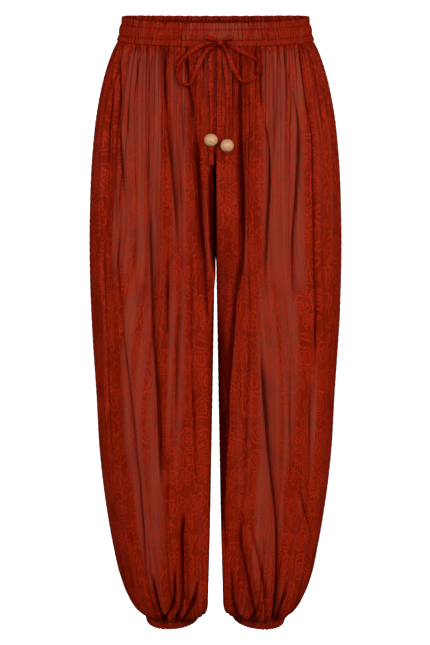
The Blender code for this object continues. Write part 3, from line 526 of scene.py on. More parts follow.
# Machine stitches: their size, and where each begins and ends in its pitch.
STITCH_PITCH = 0.0032
STITCH_RADIUS = 0.00022
STITCH_STAND = -0.0005
STITCH_SPAN = (0.14, 0.86)
CUFF_STITCHES = 80
CUFF_STITCH_SHARE = 0.80
CUFF_STITCH_STAND = 0.0003
CAPSULE_SIDES = 6
CAPSULE_SHARES = np.array((0.0, 0.12, 0.88, 1.0))
CAPSULE_SIZES = np.array((0.45, 0.9, 0.9, 0.45))

# Buttonholes in the waistband where the drawstring comes out: name, x, top and foot.
EYELETS = (
    ("eyelet_left", -0.0165, -0.0082, -0.0200),
    ("eyelet_right", 0.0264, -0.0082, -0.0228),
)
EYELET_HALF_WIDTH = 0.0003
EYELET_THREAD_LENGTH = 0.0008
EYELET_THREAD_RADIUS = 0.00028
EYELET_THREADS = 76
EYELET_STAND = 0.0008
SLIT_ROWS = 13
SLIT_DEPTH = 0.0006

TAPE_WIDTH = 0.0075
TAPE_THICKNESS = 0.0018
TAPE_SIDES = 20
TAPE_DETAIL = 5
TAPE_GIRTH = 2.2 * TAPE_WIDTH
TAPE_GROOVE = 0.35
TAPE_GROOVE_PLACE = 0.62
TAPE_GROOVE_REACH = 0.12
TAPE_CUP = 0.00035
TAPE_WRINKLE = 0.00020
TAPE_EDGE_SHADE = 0.95
TAPE_TONE = 1.30
# Dark blotches painted on the tape as the shade of its small crumples.
TAPE_CRUMPLE_SHADE = 0.50
KNOT_CENTRE = (0.0066, -0.0240)
KNOT_STAND_OFF = 0.0075
KNOT_HALF_SIZE = np.array((0.0058, 0.0034, 0.0044))
KNOT_CORE_SHARE = 0.92
KNOT_TURN_SHARE = 0.90
KNOT_TURN_SLANT = 0.34
KNOT_TURN_HALF_WIDTH = 0.0032
KNOT_TURN_SKEW = 0.0008
KNOT_TURN_HALF_THICKNESS = 0.0010
KNOT_TURN_CUP = 0.0009

# The beads: turned wood, a little flat at the holes.
BEAD_DIAMETER = 0.0200
BEAD_HEIGHT = 0.0186
BEAD_BORE = 0.0046
BEAD_LIP = 0.0006
BEAD_ROWS = 33
BEAD_SIDES = 64
BEADS = {"left": Bead(-0.0068, -0.1684, -0.2050), "right": Bead(0.0173, -0.1765, -0.2000)}
BEAD_FRONT = -0.1300
STOP_KNOT_SIDES = 28
STOP_KNOT_MIDDLE = 0.15
STOP_KNOT_REACH = 0.17
STOP_KNOT_FOOT = 0.31
STOP_KNOT_WRAPS = 42.0
STOP_KNOT_GROOVE = 0.11
TAIL_SPAN = (0.34, 0.54)
TAIL_SHIFT = 0.0006
TAIL_CURL = 0.0011
TAIL_RAGGED = 0.0009

# ---------------------------------------------------------------- looks
GROUND = (0.232, 0.0095, 0.0006)
GROUND_DEEP = (0.200, 0.0068, 0.0004)
# Painted sheen: a pale pinkish red laid on in strips and streaks, standing in for the sheen of the lamps.
PAINTED_SHEEN_COLOUR = (0.241, 0.0352, 0.0180)
PRINT_COLOUR = (0.390, 0.0190, 0.0040)
# Painted shade: valleys, crinkles, pleat lines and blotches are mixed towards this dark red, as far as their
# shares.
VALLEY_SHADE_COLOUR = (0.060, 0.0006, 0.0003)
VALLEY_SHADE = 0.80
# Painted shade in the crinkles.
CRINKLE_SHADE = 0.22
SHEEN_STREAK_SCALE = (60.0, 2.5, 1.0)
CRINKLE_SCALE = (300.0, 14.0, 1.0)
STREAK_SCALE = (520.0, 60.0, 1.0)
CREPE_SCALE = (2600.0, 1500.0, 1.0)
PLEAT_SCALE = (62.0, 1.6, 1.0)
GRAIN_SCALE = (700.0, 700.0, 60.0)
WOOD_RING_SCALE = (260.0, 140.0, 26.0)
# Thin dark pleat lines, near the waist and the cuffs, are painted shade of fine gathers.
PLEAT_WIDTH = 0.048
PLEAT_SHADE = 0.72
CLOTH_ROUGHNESS = 0.48
CLOTH_SPECULAR = 0.035
THREAD_COLOUR = (0.120, 0.008, 0.004)
EYELET_COLOUR = (0.240, 0.040, 0.026)
SLIT_SHADOW_COLOUR = (0.045, 0.003, 0.002)
FLOOR_COLOUR = (0.9, 0.9, 0.9)
WOOD = (0.650, 0.375, 0.186)
WOOD_DARK = (0.450, 0.225, 0.095)

# The print: size of a cell that holds one motif, of a leaf's cell, and its lines.  A motif
# is a rose, a small flower or a frond, and some cells have an outline and no leaves.
MOTIF_SIZE = 0.040
MOTIF_SHIFT = (3.1, 2.7, 0.0)
LEAF_SIZE = 0.024
LEAF_SHIFT = (7.3, 5.9, 0.0)
CELL_RANDOMNESS = 0.72
ROSES_BELOW = 0.42
FLOWERS_ABOVE = 0.72
OUTLINES_BELOW = 0.40
LEAVES_ABOVE = 0.45
FAR = 0.01
LINE_HALF_WIDTH = 0.00078
LINE_BLUR = 0.00030
LINE_RAGGED = 0.0004
PRINT_SQUEEZE = 1.05
PRINT_WOBBLES = ((40.0, 0.0070), (190.0, 0.0014))
OUTLINE_WOBBLE = (85.0, 0.0150)
MIDDLE = (0.0, 0.0, 0.0)
ROSE_RINGS = (
    (0.0158, 0.08, 5, 0.0, MIDDLE),
    (0.0108, 0.11, 4, 1.3, (0.0012, 0.0006, 0.0)),
    (0.0062, 0.13, 3, 2.9, (0.0003, -0.0010, 0.0)),
)
FLOWER_RINGS = ((0.0125, 0.26, 5, 0.0, MIDDLE), (0.0066, 0.22, 5, 0.0, MIDDLE))
BUD_RING = (0.0062, 0.30, 3)
EYE_RADIUS = 0.0022
ROSE_CLEAR = 0.0185
FLOWER_CLEAR = 0.0165
FROND_CLEAR = 0.0185
FROND_FINGERS = 9.0
FROND_STALK = 0.0065
FROND_REACH = 0.0150
FROND_LEAN = 0.0080
VEIN_TIP = (0.64, 0.68)
VEIN_ROOT = (0.0070, 0.0065)
LEAF_LENGTH = 0.0100
LEAF_HALF_WIDTH = 0.0046
OUTLINE_GAP = 0.0032

# ---------------------------------------------------------------- studio
STAGE_FLOOR = -1.60
STAGE_NEAR = 2.0
STAGE_FLAT = 5.5
STAGE_CURVE = 2.5
STAGE_STEPS = 12
STAGE_SIDES = 96
STAGE_HEIGHT = 4.0
STAGE_GLOW = 1.0
ROOM_LIGHT = 0.22
WHITE = (1.0, 1.0, 1.0, 1.0)
LIGHTS = (
    ("key_light", (1.4, -3.6, 0.7), 1.2, 71.0),
    ("fill_light", (-1.2, -3.6, 0.8), 1.1, 56.0),
    ("side_light_right", (3.6, -1.3, 0.2), 1.6, 54.0),
    ("side_light_left", (-3.6, -1.3, 0.2), 1.6, 42.0),
    ("back_light", (0.6, 3.9, 1.0), 2.0, 110.0),
)


# ---------------------------------------------------------------- cloth, as in the part
def smooth_step(value):
    """0 below 0, 1 above 1, and a soft S between them."""
    value = np.clip(value, 0.0, 1.0)
    return value * value * (3.0 - 2.0 * value)


def bump(offset):
    """A round rise: 1 at 0, and 0 from 1 on."""
    return np.cos(np.clip(np.abs(offset), 0.0, 1.0) * math.pi / 2.0) ** 2


def notch(offset):
    """A valley with a tight bottom and soft lips: 1 at 0, and 0 from 1 on."""
    offset = np.clip(np.abs(offset), 0.0, 1.0)
    return (1.0 - offset) ** 2 * (1.0 + offset)


def ease(value, start, end):
    """A soft rise from 0 at start to 1 at end."""
    return smooth_step((value - start) / (end - start))


def squared_off(value, power):
    """A value from -1 to 1 pushed out towards them, with its sign."""
    return np.sign(value) * np.abs(value) ** power


def ring_angles(sides, closed=False):
    """Even angles round a ring.  Closed, the last one is the first again."""
    return 2.0 * math.pi * np.arange(sides + closed) / sides


def points_of(*parts):
    """Points from their x, y and z, each one number or many."""
    return np.stack(np.broadcast_arrays(*parts), axis=-1)


def run_of(points):
    """Length along a row of points, up to each one."""
    return np.concatenate(([0.0], np.cumsum(np.linalg.norm(np.diff(points, axis=0), axis=1))))


def read_curve(knots, values, place):
    """Read a smooth curve through values set at rising knots."""
    slopes = np.gradient(values, knots, axis=0)
    place = float(np.clip(place, knots[0], knots[-1]))
    low = int(np.clip(np.searchsorted(knots, place) - 1, 0, len(knots) - 2))
    step = knots[low + 1] - knots[low]
    share = (place - knots[low]) / step
    start = 2.0 * share ** 3 - 3.0 * share ** 2 + 1.0
    leave = (share ** 3 - 2.0 * share ** 2 + share) * step
    arrive = (share ** 3 - share ** 2) * step
    return (start * values[low] + leave * slopes[low]
            + (1.0 - start) * values[low + 1] + arrive * slopes[low + 1])


def read_table(rows, column, height):
    """Read one column of a table of falling heights."""
    heights = np.array([row.height for row in rows])[::-1]
    values = np.array([getattr(row, column) for row in rows])[::-1]
    return read_curve(heights, values, height)


def even_steps(across, depth, turns):
    """Points at even shares of the length of a curve."""
    shares = run_of(points_of(across, depth))
    shares /= shares[-1]
    return np.interp(turns, shares, across), np.interp(turns, shares, depth)


def quarter_oval(half_width, depth, roundness, turns):
    """A quarter of an oval, from the side seam (turn 0) to the centre (turn 1)."""
    angle = FINE * math.pi / 2.0
    across = half_width * np.cos(angle).clip(0.0) ** (2.0 / roundness)
    forward = depth * np.sin(angle) ** (2.0 / roundness)
    return even_steps(across, forward, turns)


def half_leg(height, half_width, gap, depth, seam_depth, roundness):
    """Half of a leg's oval, from the side seam (turn 0) round to the seam between the legs."""
    centre = (half_width + gap) / 2.0
    radius = (half_width - gap) / 2.0
    seam_angle = math.asin(min(seam_depth / depth, 1.0) ** (roundness / 2.0))
    angle = np.linspace(0.0, math.pi - seam_angle, 2 * len(FINE) - 1)
    power = np.where(angle < math.pi / 2.0, 2.0 / LEG_OUTER_ROUNDNESS, 2.0 / roundness)
    across = centre + radius * squared_off(np.cos(angle), power)
    forward = depth * np.abs(np.sin(angle)) ** power
    across, forward = even_steps(across, forward, FINE)
    parted = ease(height, CROTCH + CROTCH_OPENING, CROTCH)
    end = SEAM_GAP / 2.0 + (gap - SEAM_GAP / 2.0) * parted
    pull = ease(FINE, CLEFT_TURN, 1.0)
    return across - (across[-1] - end) * pull, forward


def depth_at(height, face):
    """Depth of the plain cloth's front or back at one height."""
    return read_table(SECTIONS, "front_depth" if face < 0 else "back_depth", height)


def section_at(height, face, side, turns):
    """Across and depth of the plain cloth, before its folds, at one height."""
    half_width = read_table(SECTIONS, "half_width", height)
    gap = read_table(SECTIONS, "leg_gap", height)
    depth = depth_at(height, face)
    cleft = ease(height, CLEFT_TOP, CROTCH + CROTCH_OPENING) ** CLEFT_POWER
    roundness = LEG_INNER_ROUNDNESS
    if face < 0:
        roundness = float(np.interp(height, *FRONT_ROUNDNESS[side]))
    hip = quarter_oval(half_width, depth, HIP_ROUNDNESS, FINE)
    leg = half_leg(height, half_width, gap, depth, depth * (1.0 - cleft), roundness)
    split = ease(height, OVAL_SPLIT_TOP, OVAL_SPLIT_END)
    return tuple(np.interp(turns, FINE, hip[part] + (leg[part] - hip[part]) * split) for part in (0, 1))


def outward(height, face, side, turns):
    """Unit normals of the plain cloth, and the unit direction of rising turns."""
    before = section_at(height, face, side, np.clip(turns - SLOPE_TURN, 0.0, 1.0))
    after = section_at(height, face, side, np.clip(turns + SLOPE_TURN, 0.0, 1.0))
    top = min(height + SLOPE_RISE, PANEL_TOP)
    foot = max(height - SLOPE_RISE, PANEL_FOOT)
    along = np.subtract(after, before)
    above = section_at(top, face, side, turns)
    upward = np.subtract(above, section_at(foot, face, side, turns)) / (top - foot)
    normal = np.array([along[1], -along[0], along[0] * upward[1] - along[1] * upward[0]])
    normal[2] *= smooth_step(min(PANEL_TOP - height, height - PANEL_FOOT) / SLOPE_RISE)
    ahead = np.array([*along, np.zeros_like(turns)]) / np.linalg.norm(along, axis=0)
    return normal / np.linalg.norm(normal, axis=0), ahead


def dip(forward, depth):
    """Drop of the waist at a place in front of (below 0) or behind the side seams."""
    share = forward / depth
    return (FRONT_DROP + BACK_RISE) / 2.0 * share - (FRONT_DROP - BACK_RISE) / 2.0 * share ** 2


def cuff_lean(side, across, forward):
    """How far a place on a cuff rises as it leans back and outwards."""
    return CUFF_LEAN * forward - CUFF_ROLL[side] * (across - CUFF_CENTRE)


def settle(points, side, face, height):
    """Turn quadrant points into real ones, with the dip of the waist and the lean of the cuff."""
    across = np.maximum(points[0], -SEAM_LAP)
    forward = face * np.maximum(points[1], -SEAM_LAP)
    fall = dip(forward, depth_at(height, face)) * ease(height, DIP_END, PANEL_TOP)
    lean = cuff_lean(side, across, forward) * ease(height, LEAN_START, PANEL_FOOT)
    return points_of(side * across, forward, points[2] + fall + lean)


def arc_to_corner(wide, deep):
    """Lengths along a section, and the number of its point at the inner fold."""
    return run_of(points_of(wide, deep)), int(np.argmax(wide < wide.min() + INNER_CORNER))


class Panel:
    """One leg panel: its plain cloth and its folds, row by row."""

    def __init__(self, name, side, face):
        self.name = name
        self.side = side
        self.face = face
        draw = np.random.default_rng(PANEL_SEEDS[name])
        self.gathers = {kind: self.draw_gathers(draw, GATHERS[kind]) for kind in ("waist", "cuff")}
        self.streaks = []
        for _ in range(STREAKS):
            length = draw.uniform(*STREAK_LENGTH)
            top = draw.uniform(STREAK_SPAN[0] + length * 0.5, STREAK_SPAN[1])
            self.streaks.append((top, top - length, draw.uniform(0.03, 0.97), draw.normal(0.0, STREAK_DRIFT),
                                 draw.uniform(*STREAK_REACH),
                                 draw.uniform(*STREAK_DEPTH) * draw.choice((-1.0, -1.0, 1.0))))
        self.gathers["seam"] = self.draw_gathers(draw, GATHERS["seam"])
        wide, deep = section_at(PANEL_TOP, face, side, FINE)
        arcs, corner = arc_to_corner(wide, deep)
        self.top_across = wide[::-1]
        self.top_spread = arcs[::-1] / arcs[corner]

    @staticmethod
    def draw_gathers(draw, kind):
        """Place, drift, half width, depth and end of each small gather."""
        return [((index + 0.5 + draw.uniform(-0.28, 0.28)) / kind.count, draw.uniform(-0.004, 0.004),
                 draw.uniform(*GATHER_SHARE) / kind.count, draw.uniform(*kind.depths),
                 draw.uniform(*kind.ends)) for index in range(kind.count)]

    def hung_from(self, wide, height):
        """How far across the top edge each point of a section hangs from.

        Near the waist only the cloth past FAN_START fans out, lower down all of it does.
        """
        top = self.top_across[-1]
        side = max(wide[0] - FAN_START, 0.001)
        straight = np.where(wide < FAN_START, wide, FAN_START + (wide - FAN_START) * (top - FAN_START) / side)
        even = wide / wide[0] * top
        return straight + (even - straight) * ease(height, FAN_TOP, FAN_FOOT)

    def broad_folds(self, height, turns, place_turn, girth):
        """How far the broad folds of the part lift the cloth."""
        lift = np.zeros_like(turns)
        for fold in FOLDS[self.name]:
            share = (fold.top - height) / (fold.top - fold.foot)
            if 0.0 < share < 1.0:
                turn = place_turn(fold.across_top + (fold.across_foot - fold.across_top) * share)
                ends = smooth_step(np.array((fold.top - height, height - fold.foot)) / FOLD_FADE)
                lift += fold.rise * ends[0] * ends[1] * bump((turns - turn) * girth / fold.reach)
        return lift

    def creases(self, height, turns, place_turn, girth):
        """Lift and sideways slide of the creases set by hand."""
        lift = np.zeros_like(turns)
        slide = np.zeros_like(turns)
        narrow = TOP_NARROW + (1.0 - TOP_NARROW) * ease(height, NARROW_ABOVE, FULL_BELOW)
        for crease in CREASES[self.name]:
            stops = crease.stops
            if not stops[0, 0] < height < stops[-1, 0]:
                continue
            across, share = read_curve(stops[:, 0], stops[:, 1:], height)
            share = max(share, 0.0)
            away = (turns - place_turn(across)) * girth
            crest = bump((away - crease.lean * crease.ridge) / crease.ridge)
            valley = np.zeros_like(turns)
            for place in (away - LIP_BLUR, away, away + LIP_BLUR):
                steep = np.where(place * crease.lean > 0.0, STEEP_SIDE, GENTLE_SIDE)
                valley += notch(place / (crease.valley * narrow * steep)) / 3.0
            lift += share * (crease.crest * crest - crease.depth * CREASE_DEPTH * narrow * valley)
            slide -= crease.lean * crease.lap * LAP_SHARE * share * crest
        return lift, slide

    def small_folds(self, height, spread, reach_out):
        """Gathers below the waistband and over the cuff, and fine streaks.

        Spread is each point's place round the leg, from 0 at the side seam to 1 at the inner
        fold, and reach_out is that distance in metres.
        """
        lift = np.zeros_like(spread)
        for name, rows in self.gathers.items():
            kind = GATHERS[name]
            for place, drift, reach, depth, end in rows:
                share = min((height - end) / (kind.start - end), 1.0)
                if share > 0.0:
                    middle = place + drift * kind.drift * (kind.start - height)
                    lift -= depth * share ** kind.fade * notch((spread - middle) / (reach * kind.widen))
        for top, foot, place, drift, reach, rise in self.streaks:
            if foot < height < top:
                share = bump((height - (top + foot) / 2.0) / ((top - foot) / 2.0))
                place = place + drift * (top - height) / (top - foot)
                lift += rise * share * bump((spread - place) * reach_out / reach)
        near_band = ease(height, BAND_GATHER_END, PANEL_TOP)
        arc = spread * reach_out
        wave = arc / BAND_GATHER_PITCH
        for size, pace, shift in BAND_GATHER_SWAY:
            wave = wave + size * np.sin(arc * pace + shift)
        return lift - BAND_GATHER_DEPTH * near_band * np.abs(np.sin(math.pi * wave)) ** 0.8

    @staticmethod
    def recess_of(name, height, across):
        """How far back one panel's own tables put its cloth."""
        back = np.zeros_like(across)
        for rows in RECESSES[name]:
            if rows[-1].height < height < rows[0].height:
                edge, step, deepest = (read_table(rows, key, height) for key in ("edge", "step", "back"))
                inside = edge - across
                back += step * smooth_step(inside / RECESS_EDGE)
                back += (deepest - step) * smooth_step(inside / edge)
        return back

    def recess(self, height, across, forward):
        """How far back the cloth lies between the legs' inner folds.

        At the centre seam it lies as far back as the panel on the other side.
        """
        back = self.recess_of(self.name, height, across)
        own, other = ("left", "right") if self.side < 0 else ("right", "left")
        at_seam = [self.recess_of(name, height, np.zeros(1))[0]
                   for name in (self.name, self.name.replace(own, other))]
        gap = max(at_seam[1] - at_seam[0], 0.0)
        back += gap * smooth_step(1.0 - across / RECESS_RETURN) * (height > CROTCH)
        return np.minimum(back, forward * 0.5)

    def bloom(self, height, across, spread):
        """How much painted sheen each point takes, from 0 to 1, on the open face of the cloth."""
        shine = np.zeros_like(across)
        for strip in STRIPS[self.name]:
            share = (strip.top - height) / (strip.top - strip.foot)
            if 0.0 < share < 1.0:
                place = strip.across_top + (strip.across_foot - strip.across_top) * share
                head = STRIP_HEAD if strip.top > WAIST_STRIP else STRIP_TAIL
                strength = strip.strength * smooth_step((strip.top - height) / head)
                strength *= smooth_step((height - strip.foot) / STRIP_TAIL)
                inside = (1.0 - np.abs(across - place) / strip.half_width) / STRIP_EDGE
                shine = np.maximum(shine, strength * smooth_step(inside + 0.5))
        return shine * (spread < 1.02)

    @staticmethod
    def relief(lift, outer_girth):
        """How far each point lies above (to 1) or below (to -1) the cloth round it."""
        reach = max(int(RELIEF_REACH / outer_girth * OUTER_COLUMNS), 1)
        kernel = np.hanning(2 * reach + 3)[1:-1]
        near = np.convolve(np.pad(lift, reach, mode="edge"), kernel / kernel.sum(), mode="valid")
        return np.clip((lift - near) / RELIEF_DEPTH, -1.0, 1.0)

    def row(self, height):
        """Outer and inner points of the cloth at one height, its flat place, relief, painted sheen and lift.
        """
        wide, deep = section_at(height, self.face, self.side, FINE)
        arcs, corner = arc_to_corner(wide, deep)
        girth = arcs[-1]
        outer_girth = arcs[corner]

        def place_turn(place):
            return float(np.interp(place, wide[::-1], FINE[::-1]))

        reached = np.interp(self.hung_from(wide, height), self.top_across, self.top_spread)
        reached[corner:] = reached[corner] + (arcs[corner:] - outer_girth) / outer_girth
        spread = np.concatenate((np.linspace(0.0, reached[corner], OUTER_COLUMNS),
                                 np.linspace(reached[corner], reached[-1], INNER_COLUMNS + 1)[1:]))
        turns = np.interp(spread, reached, FINE)
        from_side = turns * girth
        from_centre = (1.0 - turns) * girth
        across, forward = section_at(height, self.face, self.side, turns)
        normal, ahead = outward(height, self.face, self.side, turns)
        lift, slide = self.creases(height, turns, place_turn, girth)
        lift += self.broad_folds(height, turns, place_turn, girth)
        lift += self.small_folds(height, spread, outer_girth)
        calm = smooth_step(turns / SIDE_SEAM_CALM) * smooth_step((1.0 - turns) / INNER_SEAM_CALM)
        relief = self.relief(lift * calm, outer_girth)
        top = smooth_step((PANEL_TOP - height) / TOP_CALM)
        calm *= np.where(lift > 0.0, top, TOP_KEPT + (1.0 - TOP_KEPT) * top)
        calm *= smooth_step((height - PANEL_FOOT) / FOOT_CALM) * 0.9 + 0.1
        lift = np.maximum(lift * calm, -TOP_HOLD - TOP_LET * (PANEL_TOP - height))
        pucker = PUCKER_RISE * (0.5 + 0.5 * math.sin(2.0 * math.pi * height / PUCKER_PITCH))
        for from_seam in (from_side, from_centre):
            lift += pucker * bump((from_seam - PUCKER_REACH) / PUCKER_REACH)
        lift -= SEAM_DEPTH * bump(from_side / SEAM_REACH)
        plain = np.array([across, forward, np.full_like(turns, height)]) + ahead * slide * calm
        pushed = self.recess(height, (plain + normal * lift)[0], forward)
        at_side = bump(from_side / SEAM_LAP_REACH)
        at_centre = bump(from_centre / SEAM_LAP_REACH)
        lapped = 2.0 * SEAM_LAP * (at_side + at_centre * (height < CROTCH + CROTCH_OPENING))
        plain[0] -= 2.0 * SEAM_LAP * at_centre * (height > CROTCH)
        plain[1] -= SEAM_DEPTH * bump(from_centre / SEAM_REACH) + pushed + lapped
        padded = np.pad(lift, INNER_REACH, mode="edge")
        lowest = np.lib.stride_tricks.sliding_window_view(padded, 2 * INNER_REACH + 1).min(axis=1)
        layers = [settle(plain + normal * level, self.side, self.face, height)
                  for level in (lift, lowest - CLOTH_THICKNESS)]
        # Painted shade where the cloth lies back in a recess.
        relief -= pushed / RECESS_DARK
        # Painted shade along the centre seam, fading out below the waist.
        near_waist = smooth_step((height - SEAM_SHADE_FOOT) / SEAM_SHADE_FADE)
        relief -= SEAM_SHADE * near_waist * bump(from_centre / SEAM_SHADE_REACH)
        past = np.maximum(spread - 1.0, 0.0) * outer_girth
        flat = np.minimum(spread, 1.0) * OUTER_SHARE * PANEL_CUT[0] + past
        return (*layers, flat, np.maximum(relief, -1.0), self.bloom(height, across, spread), lift - pushed)


# ---------------------------------------------------------------- meshes
def add_mesh(name, vertices, faces, face_places, material):
    """One object with its flat cloth places, in metres, as a UV map."""
    mesh = bpy.data.meshes.new(name)
    mesh.from_pydata(np.reshape(vertices, (-1, 3)).tolist(), [], faces)
    if face_places is not None:
        layer = mesh.uv_layers.new(name="cloth")
        layer.data.foreach_set("uv", np.concatenate(face_places).astype(np.float32).ravel())
    mesh.shade_smooth()
    mesh.materials.append(material)
    item = bpy.data.objects.new(name, mesh)
    bpy.context.scene.collection.objects.link(item)
    return item


def add_mark(item, name, values):
    """One number for each point of a mesh, for its material to read."""
    layer = item.data.attributes.new(name, "FLOAT", "POINT")
    layer.data.foreach_set("value", np.asarray(values, dtype=np.float32).ravel())


def face_out(item):
    """Turn the faces of a closed object outwards."""
    shape = bmesh.new()
    shape.from_mesh(item.data)
    bmesh.ops.recalc_face_normals(shape, faces=shape.faces)
    shape.to_mesh(item.data)
    shape.free()
    return item


def split_faces(faces, fall):
    """Triangles from four-sided faces, parted along the fold that crosses each one."""
    one = np.abs(fall[:-1, :-1] - fall[1:, 1:])
    other = np.abs(fall[:-1, 1:] - fall[1:, :-1])
    turned = (one > other).reshape(-1)
    order = np.where(turned[:, None, None], ((1, 2, 3), (1, 3, 0)), ((0, 1, 2), (0, 2, 3)))
    return np.stack([faces[np.arange(len(faces))[:, None], order[:, half]] for half in (0, 1)], axis=1)


def grid_faces(grid):
    """The four corners of each cell of a grid of values."""
    corners = np.stack([grid[:-1, :-1], grid[:-1, 1:], grid[1:, 1:], grid[1:, :-1]], axis=2)
    return corners.reshape(-1, 4, *grid.shape[2:])


def tube_faces(rows, sides, base=0, looped=False):
    """Faces between rings of points.  Looped, the last ring meets the first."""
    ring = np.arange(sides + 1) % sides
    grid = base + np.arange(rows)[:, None] * sides + ring
    return grid_faces(np.concatenate([grid, grid[:1]]) if looped else grid).tolist()


def add_shell(name, outer, inner, places, material, wrapped=False, every=1, fall=None, **marks):
    """A closed thin wall from two grids of points.  Wrapped, its last column meets its first.

    The inner layer takes every one or every second point.  Fall is the height of each outer
    point above its plain cloth.  Each mark is a number for every point, one grid for both
    layers or one for each.
    """
    outer, inner, places = map(np.array, (outer, inner, places))
    rows, columns = outer.shape[:2]
    inner = inner[::every, ::every]
    vertices = np.concatenate([outer.reshape(-1, 3), inner.reshape(-1, 3)])
    front = np.arange(rows * columns).reshape(rows, columns)
    back = rows * columns + np.arange(inner.shape[0] * inner.shape[1]).reshape(inner.shape[:2])
    if wrapped:
        front = np.concatenate([front, front[:, :1]], axis=1)
        back = np.concatenate([back, back[:, :1]], axis=1)
    faces = grid_faces(front)
    spots = grid_faces(places)
    if fall is not None:
        spots = split_faces(spots, np.array(fall)).reshape(-1, 3, 2)
        faces = split_faces(faces, np.array(fall)).reshape(-1, 3)
    faces = faces.tolist() + grid_faces(back)[:, ::-1].tolist()
    spots = [spots.reshape(-1, 2), grid_faces(places[::every, ::every])[:, ::-1].reshape(-1, 2)]
    edges = [(front[0], back[0], places[0]), (front[-1, ::-1], back[-1, ::-1], places[-1, ::-1])]
    if not wrapped:
        edges.append((front[::-1, 0], back[::-1, 0], places[::-1, 0]))
        edges.append((front[:, -1], back[:, -1], places[:, -1]))
    for near, far, flat in edges:
        for index in range(0, len(near) - 1, every):
            faces.append([*near[index:index + every + 1][::-1].tolist(), int(far[index // every]),
                          int(far[index // every + 1])])
            spots.append(np.concatenate([flat[index:index + every + 1][::-1], flat[[index, index + every]]]))
    item = add_mesh(name, vertices, faces, spots, material)
    for mark, values in marks.items():
        both = np.broadcast_to(np.array(values), (2, rows, columns))
        add_mark(item, mark, np.concatenate([both[0].ravel(), both[1][::every, ::every].ravel()]))
    return face_out(item)


def add_tube(name, rings, along, girth, material, caps=True, shade=None):
    """Skin rings whose last point is the first.  Along and girth lay it flat, shade is its relief."""
    rows = len(rings)
    sides = len(rings[0]) - 1
    places = points_of(along[:, None], np.linspace(0.0, girth, sides + 1))
    faces = tube_faces(rows, sides)
    spots = [grid_faces(places).reshape(-1, 2)]
    if caps:
        faces += [list(range(sides)), list(range((rows - 1) * sides, rows * sides))]
        spots += [places[0, :-1], places[-1, :-1]]
    item = add_mesh(name, rings[:, :-1], faces, spots, material)
    if shade is not None:
        add_mark(item, "relief", np.tile(shade, rows))
    return face_out(item)


def add_capsules(name, ends, radius, material):
    """Short rounded threads between pairs of points, all in one mesh."""
    start = ends[:, 0]
    along = ends[:, 1] - start
    way = along / np.linalg.norm(along, axis=1)[:, None]
    one = np.cross(way, np.where(np.abs(way[:, 2:]) < 0.8, (0.0, 0.0, 1.0), (1.0, 0.0, 0.0)))
    one /= np.linalg.norm(one, axis=1)[:, None]
    two = np.cross(way, one)
    angle = ring_angles(CAPSULE_SIDES)[:, None]
    ring = radius * (np.cos(angle) * one[:, None] + np.sin(angle) * two[:, None])
    centres = start[:, None] + along[:, None] * CAPSULE_SHARES[:, None]
    vertices = centres[:, :, None] + ring[:, None] * CAPSULE_SIZES[:, None, None]
    faces = []
    rows = len(CAPSULE_SHARES)
    for base in range(0, len(ends) * rows * CAPSULE_SIDES, rows * CAPSULE_SIDES):
        faces += tube_faces(rows, CAPSULE_SIDES, base)
        faces.append([base + corner for corner in reversed(range(CAPSULE_SIDES))])
        faces.append([base + (rows - 1) * CAPSULE_SIDES + corner for corner in range(CAPSULE_SIDES)])
    return add_mesh(name, vertices, faces, None, material)


# ---------------------------------------------------------------- legs, waistband and cuffs
def panel_heights():
    """Rows of a panel, closer together under the waistband and over the cuff."""
    eased = np.interp(np.linspace(0.0, 1.0, PANEL_ROWS), ROW_SHARES, ROW_HEIGHTS)
    kernel = np.ones(2 * ROW_BLUR + 1) / (2 * ROW_BLUR + 1)
    smooth = np.convolve(np.pad(eased, ROW_BLUR, mode="edge"), kernel, mode="valid")
    smooth[0] = PANEL_TOP
    smooth[-1] = PANEL_FOOT
    return smooth


def build_panel(name, side, face, material):
    """One leg panel as fine cloth."""
    panel = Panel(name, side, face)
    heights = panel_heights()
    grids = [list(rows) for rows in zip(*(panel.row(float(height)) for height in heights))]
    outer, inner, flats, reliefs, blooms, falls = grids
    for end, spot, rise in ((0, 0, HIDDEN_RISE), (-1, PANEL_ROWS + 1, -HIDDEN_RISE)):
        middle = np.array((side * CUFF_CENTRE if end else 0.0, 0.0, 0.0))
        tuck = HIDDEN_TUCK / np.linalg.norm(outer[end][:, :2] - middle[:2], axis=1)[:, None]
        level = outer[end][:, 2] + rise
        for grid in (outer, inner):
            points = grid[end] + (middle - grid[end]) * tuck
            points[:, 2] = level
            grid.insert(spot, points)
        for grid in (flats, reliefs, blooms, falls):
            grid.insert(spot, grid[end])
    heights = np.concatenate(([PANEL_TOP + HIDDEN_RISE], heights, [PANEL_FOOT - HIDDEN_RISE]))
    places = points_of(np.array(flats) * side * face + PANEL_SHIFT[(side, face)], heights[:, None])
    return add_shell(name.replace("leg", "cloth"), outer, inner, places, material, every=2, fall=falls,
                     relief=reliefs, bloom=blooms)


def uneven_wave(draw, count, samples):
    """A ripple round a hoop whose gathers differ in width and height: about -1 to 1."""
    widths = draw.uniform(0.45, 1.7, count)
    edges = np.concatenate(([0.0], np.cumsum(widths))) / np.sum(widths)
    phase = np.interp(samples, edges, np.arange(count + 1))
    heights = draw.uniform(0.55, 1.2, count + 1)
    heights[-1] = heights[0]
    size = np.interp(phase, np.arange(count + 1), heights)
    return size * (2.0 * np.abs(np.sin(math.pi * phase)) ** 1.1 - 1.0)


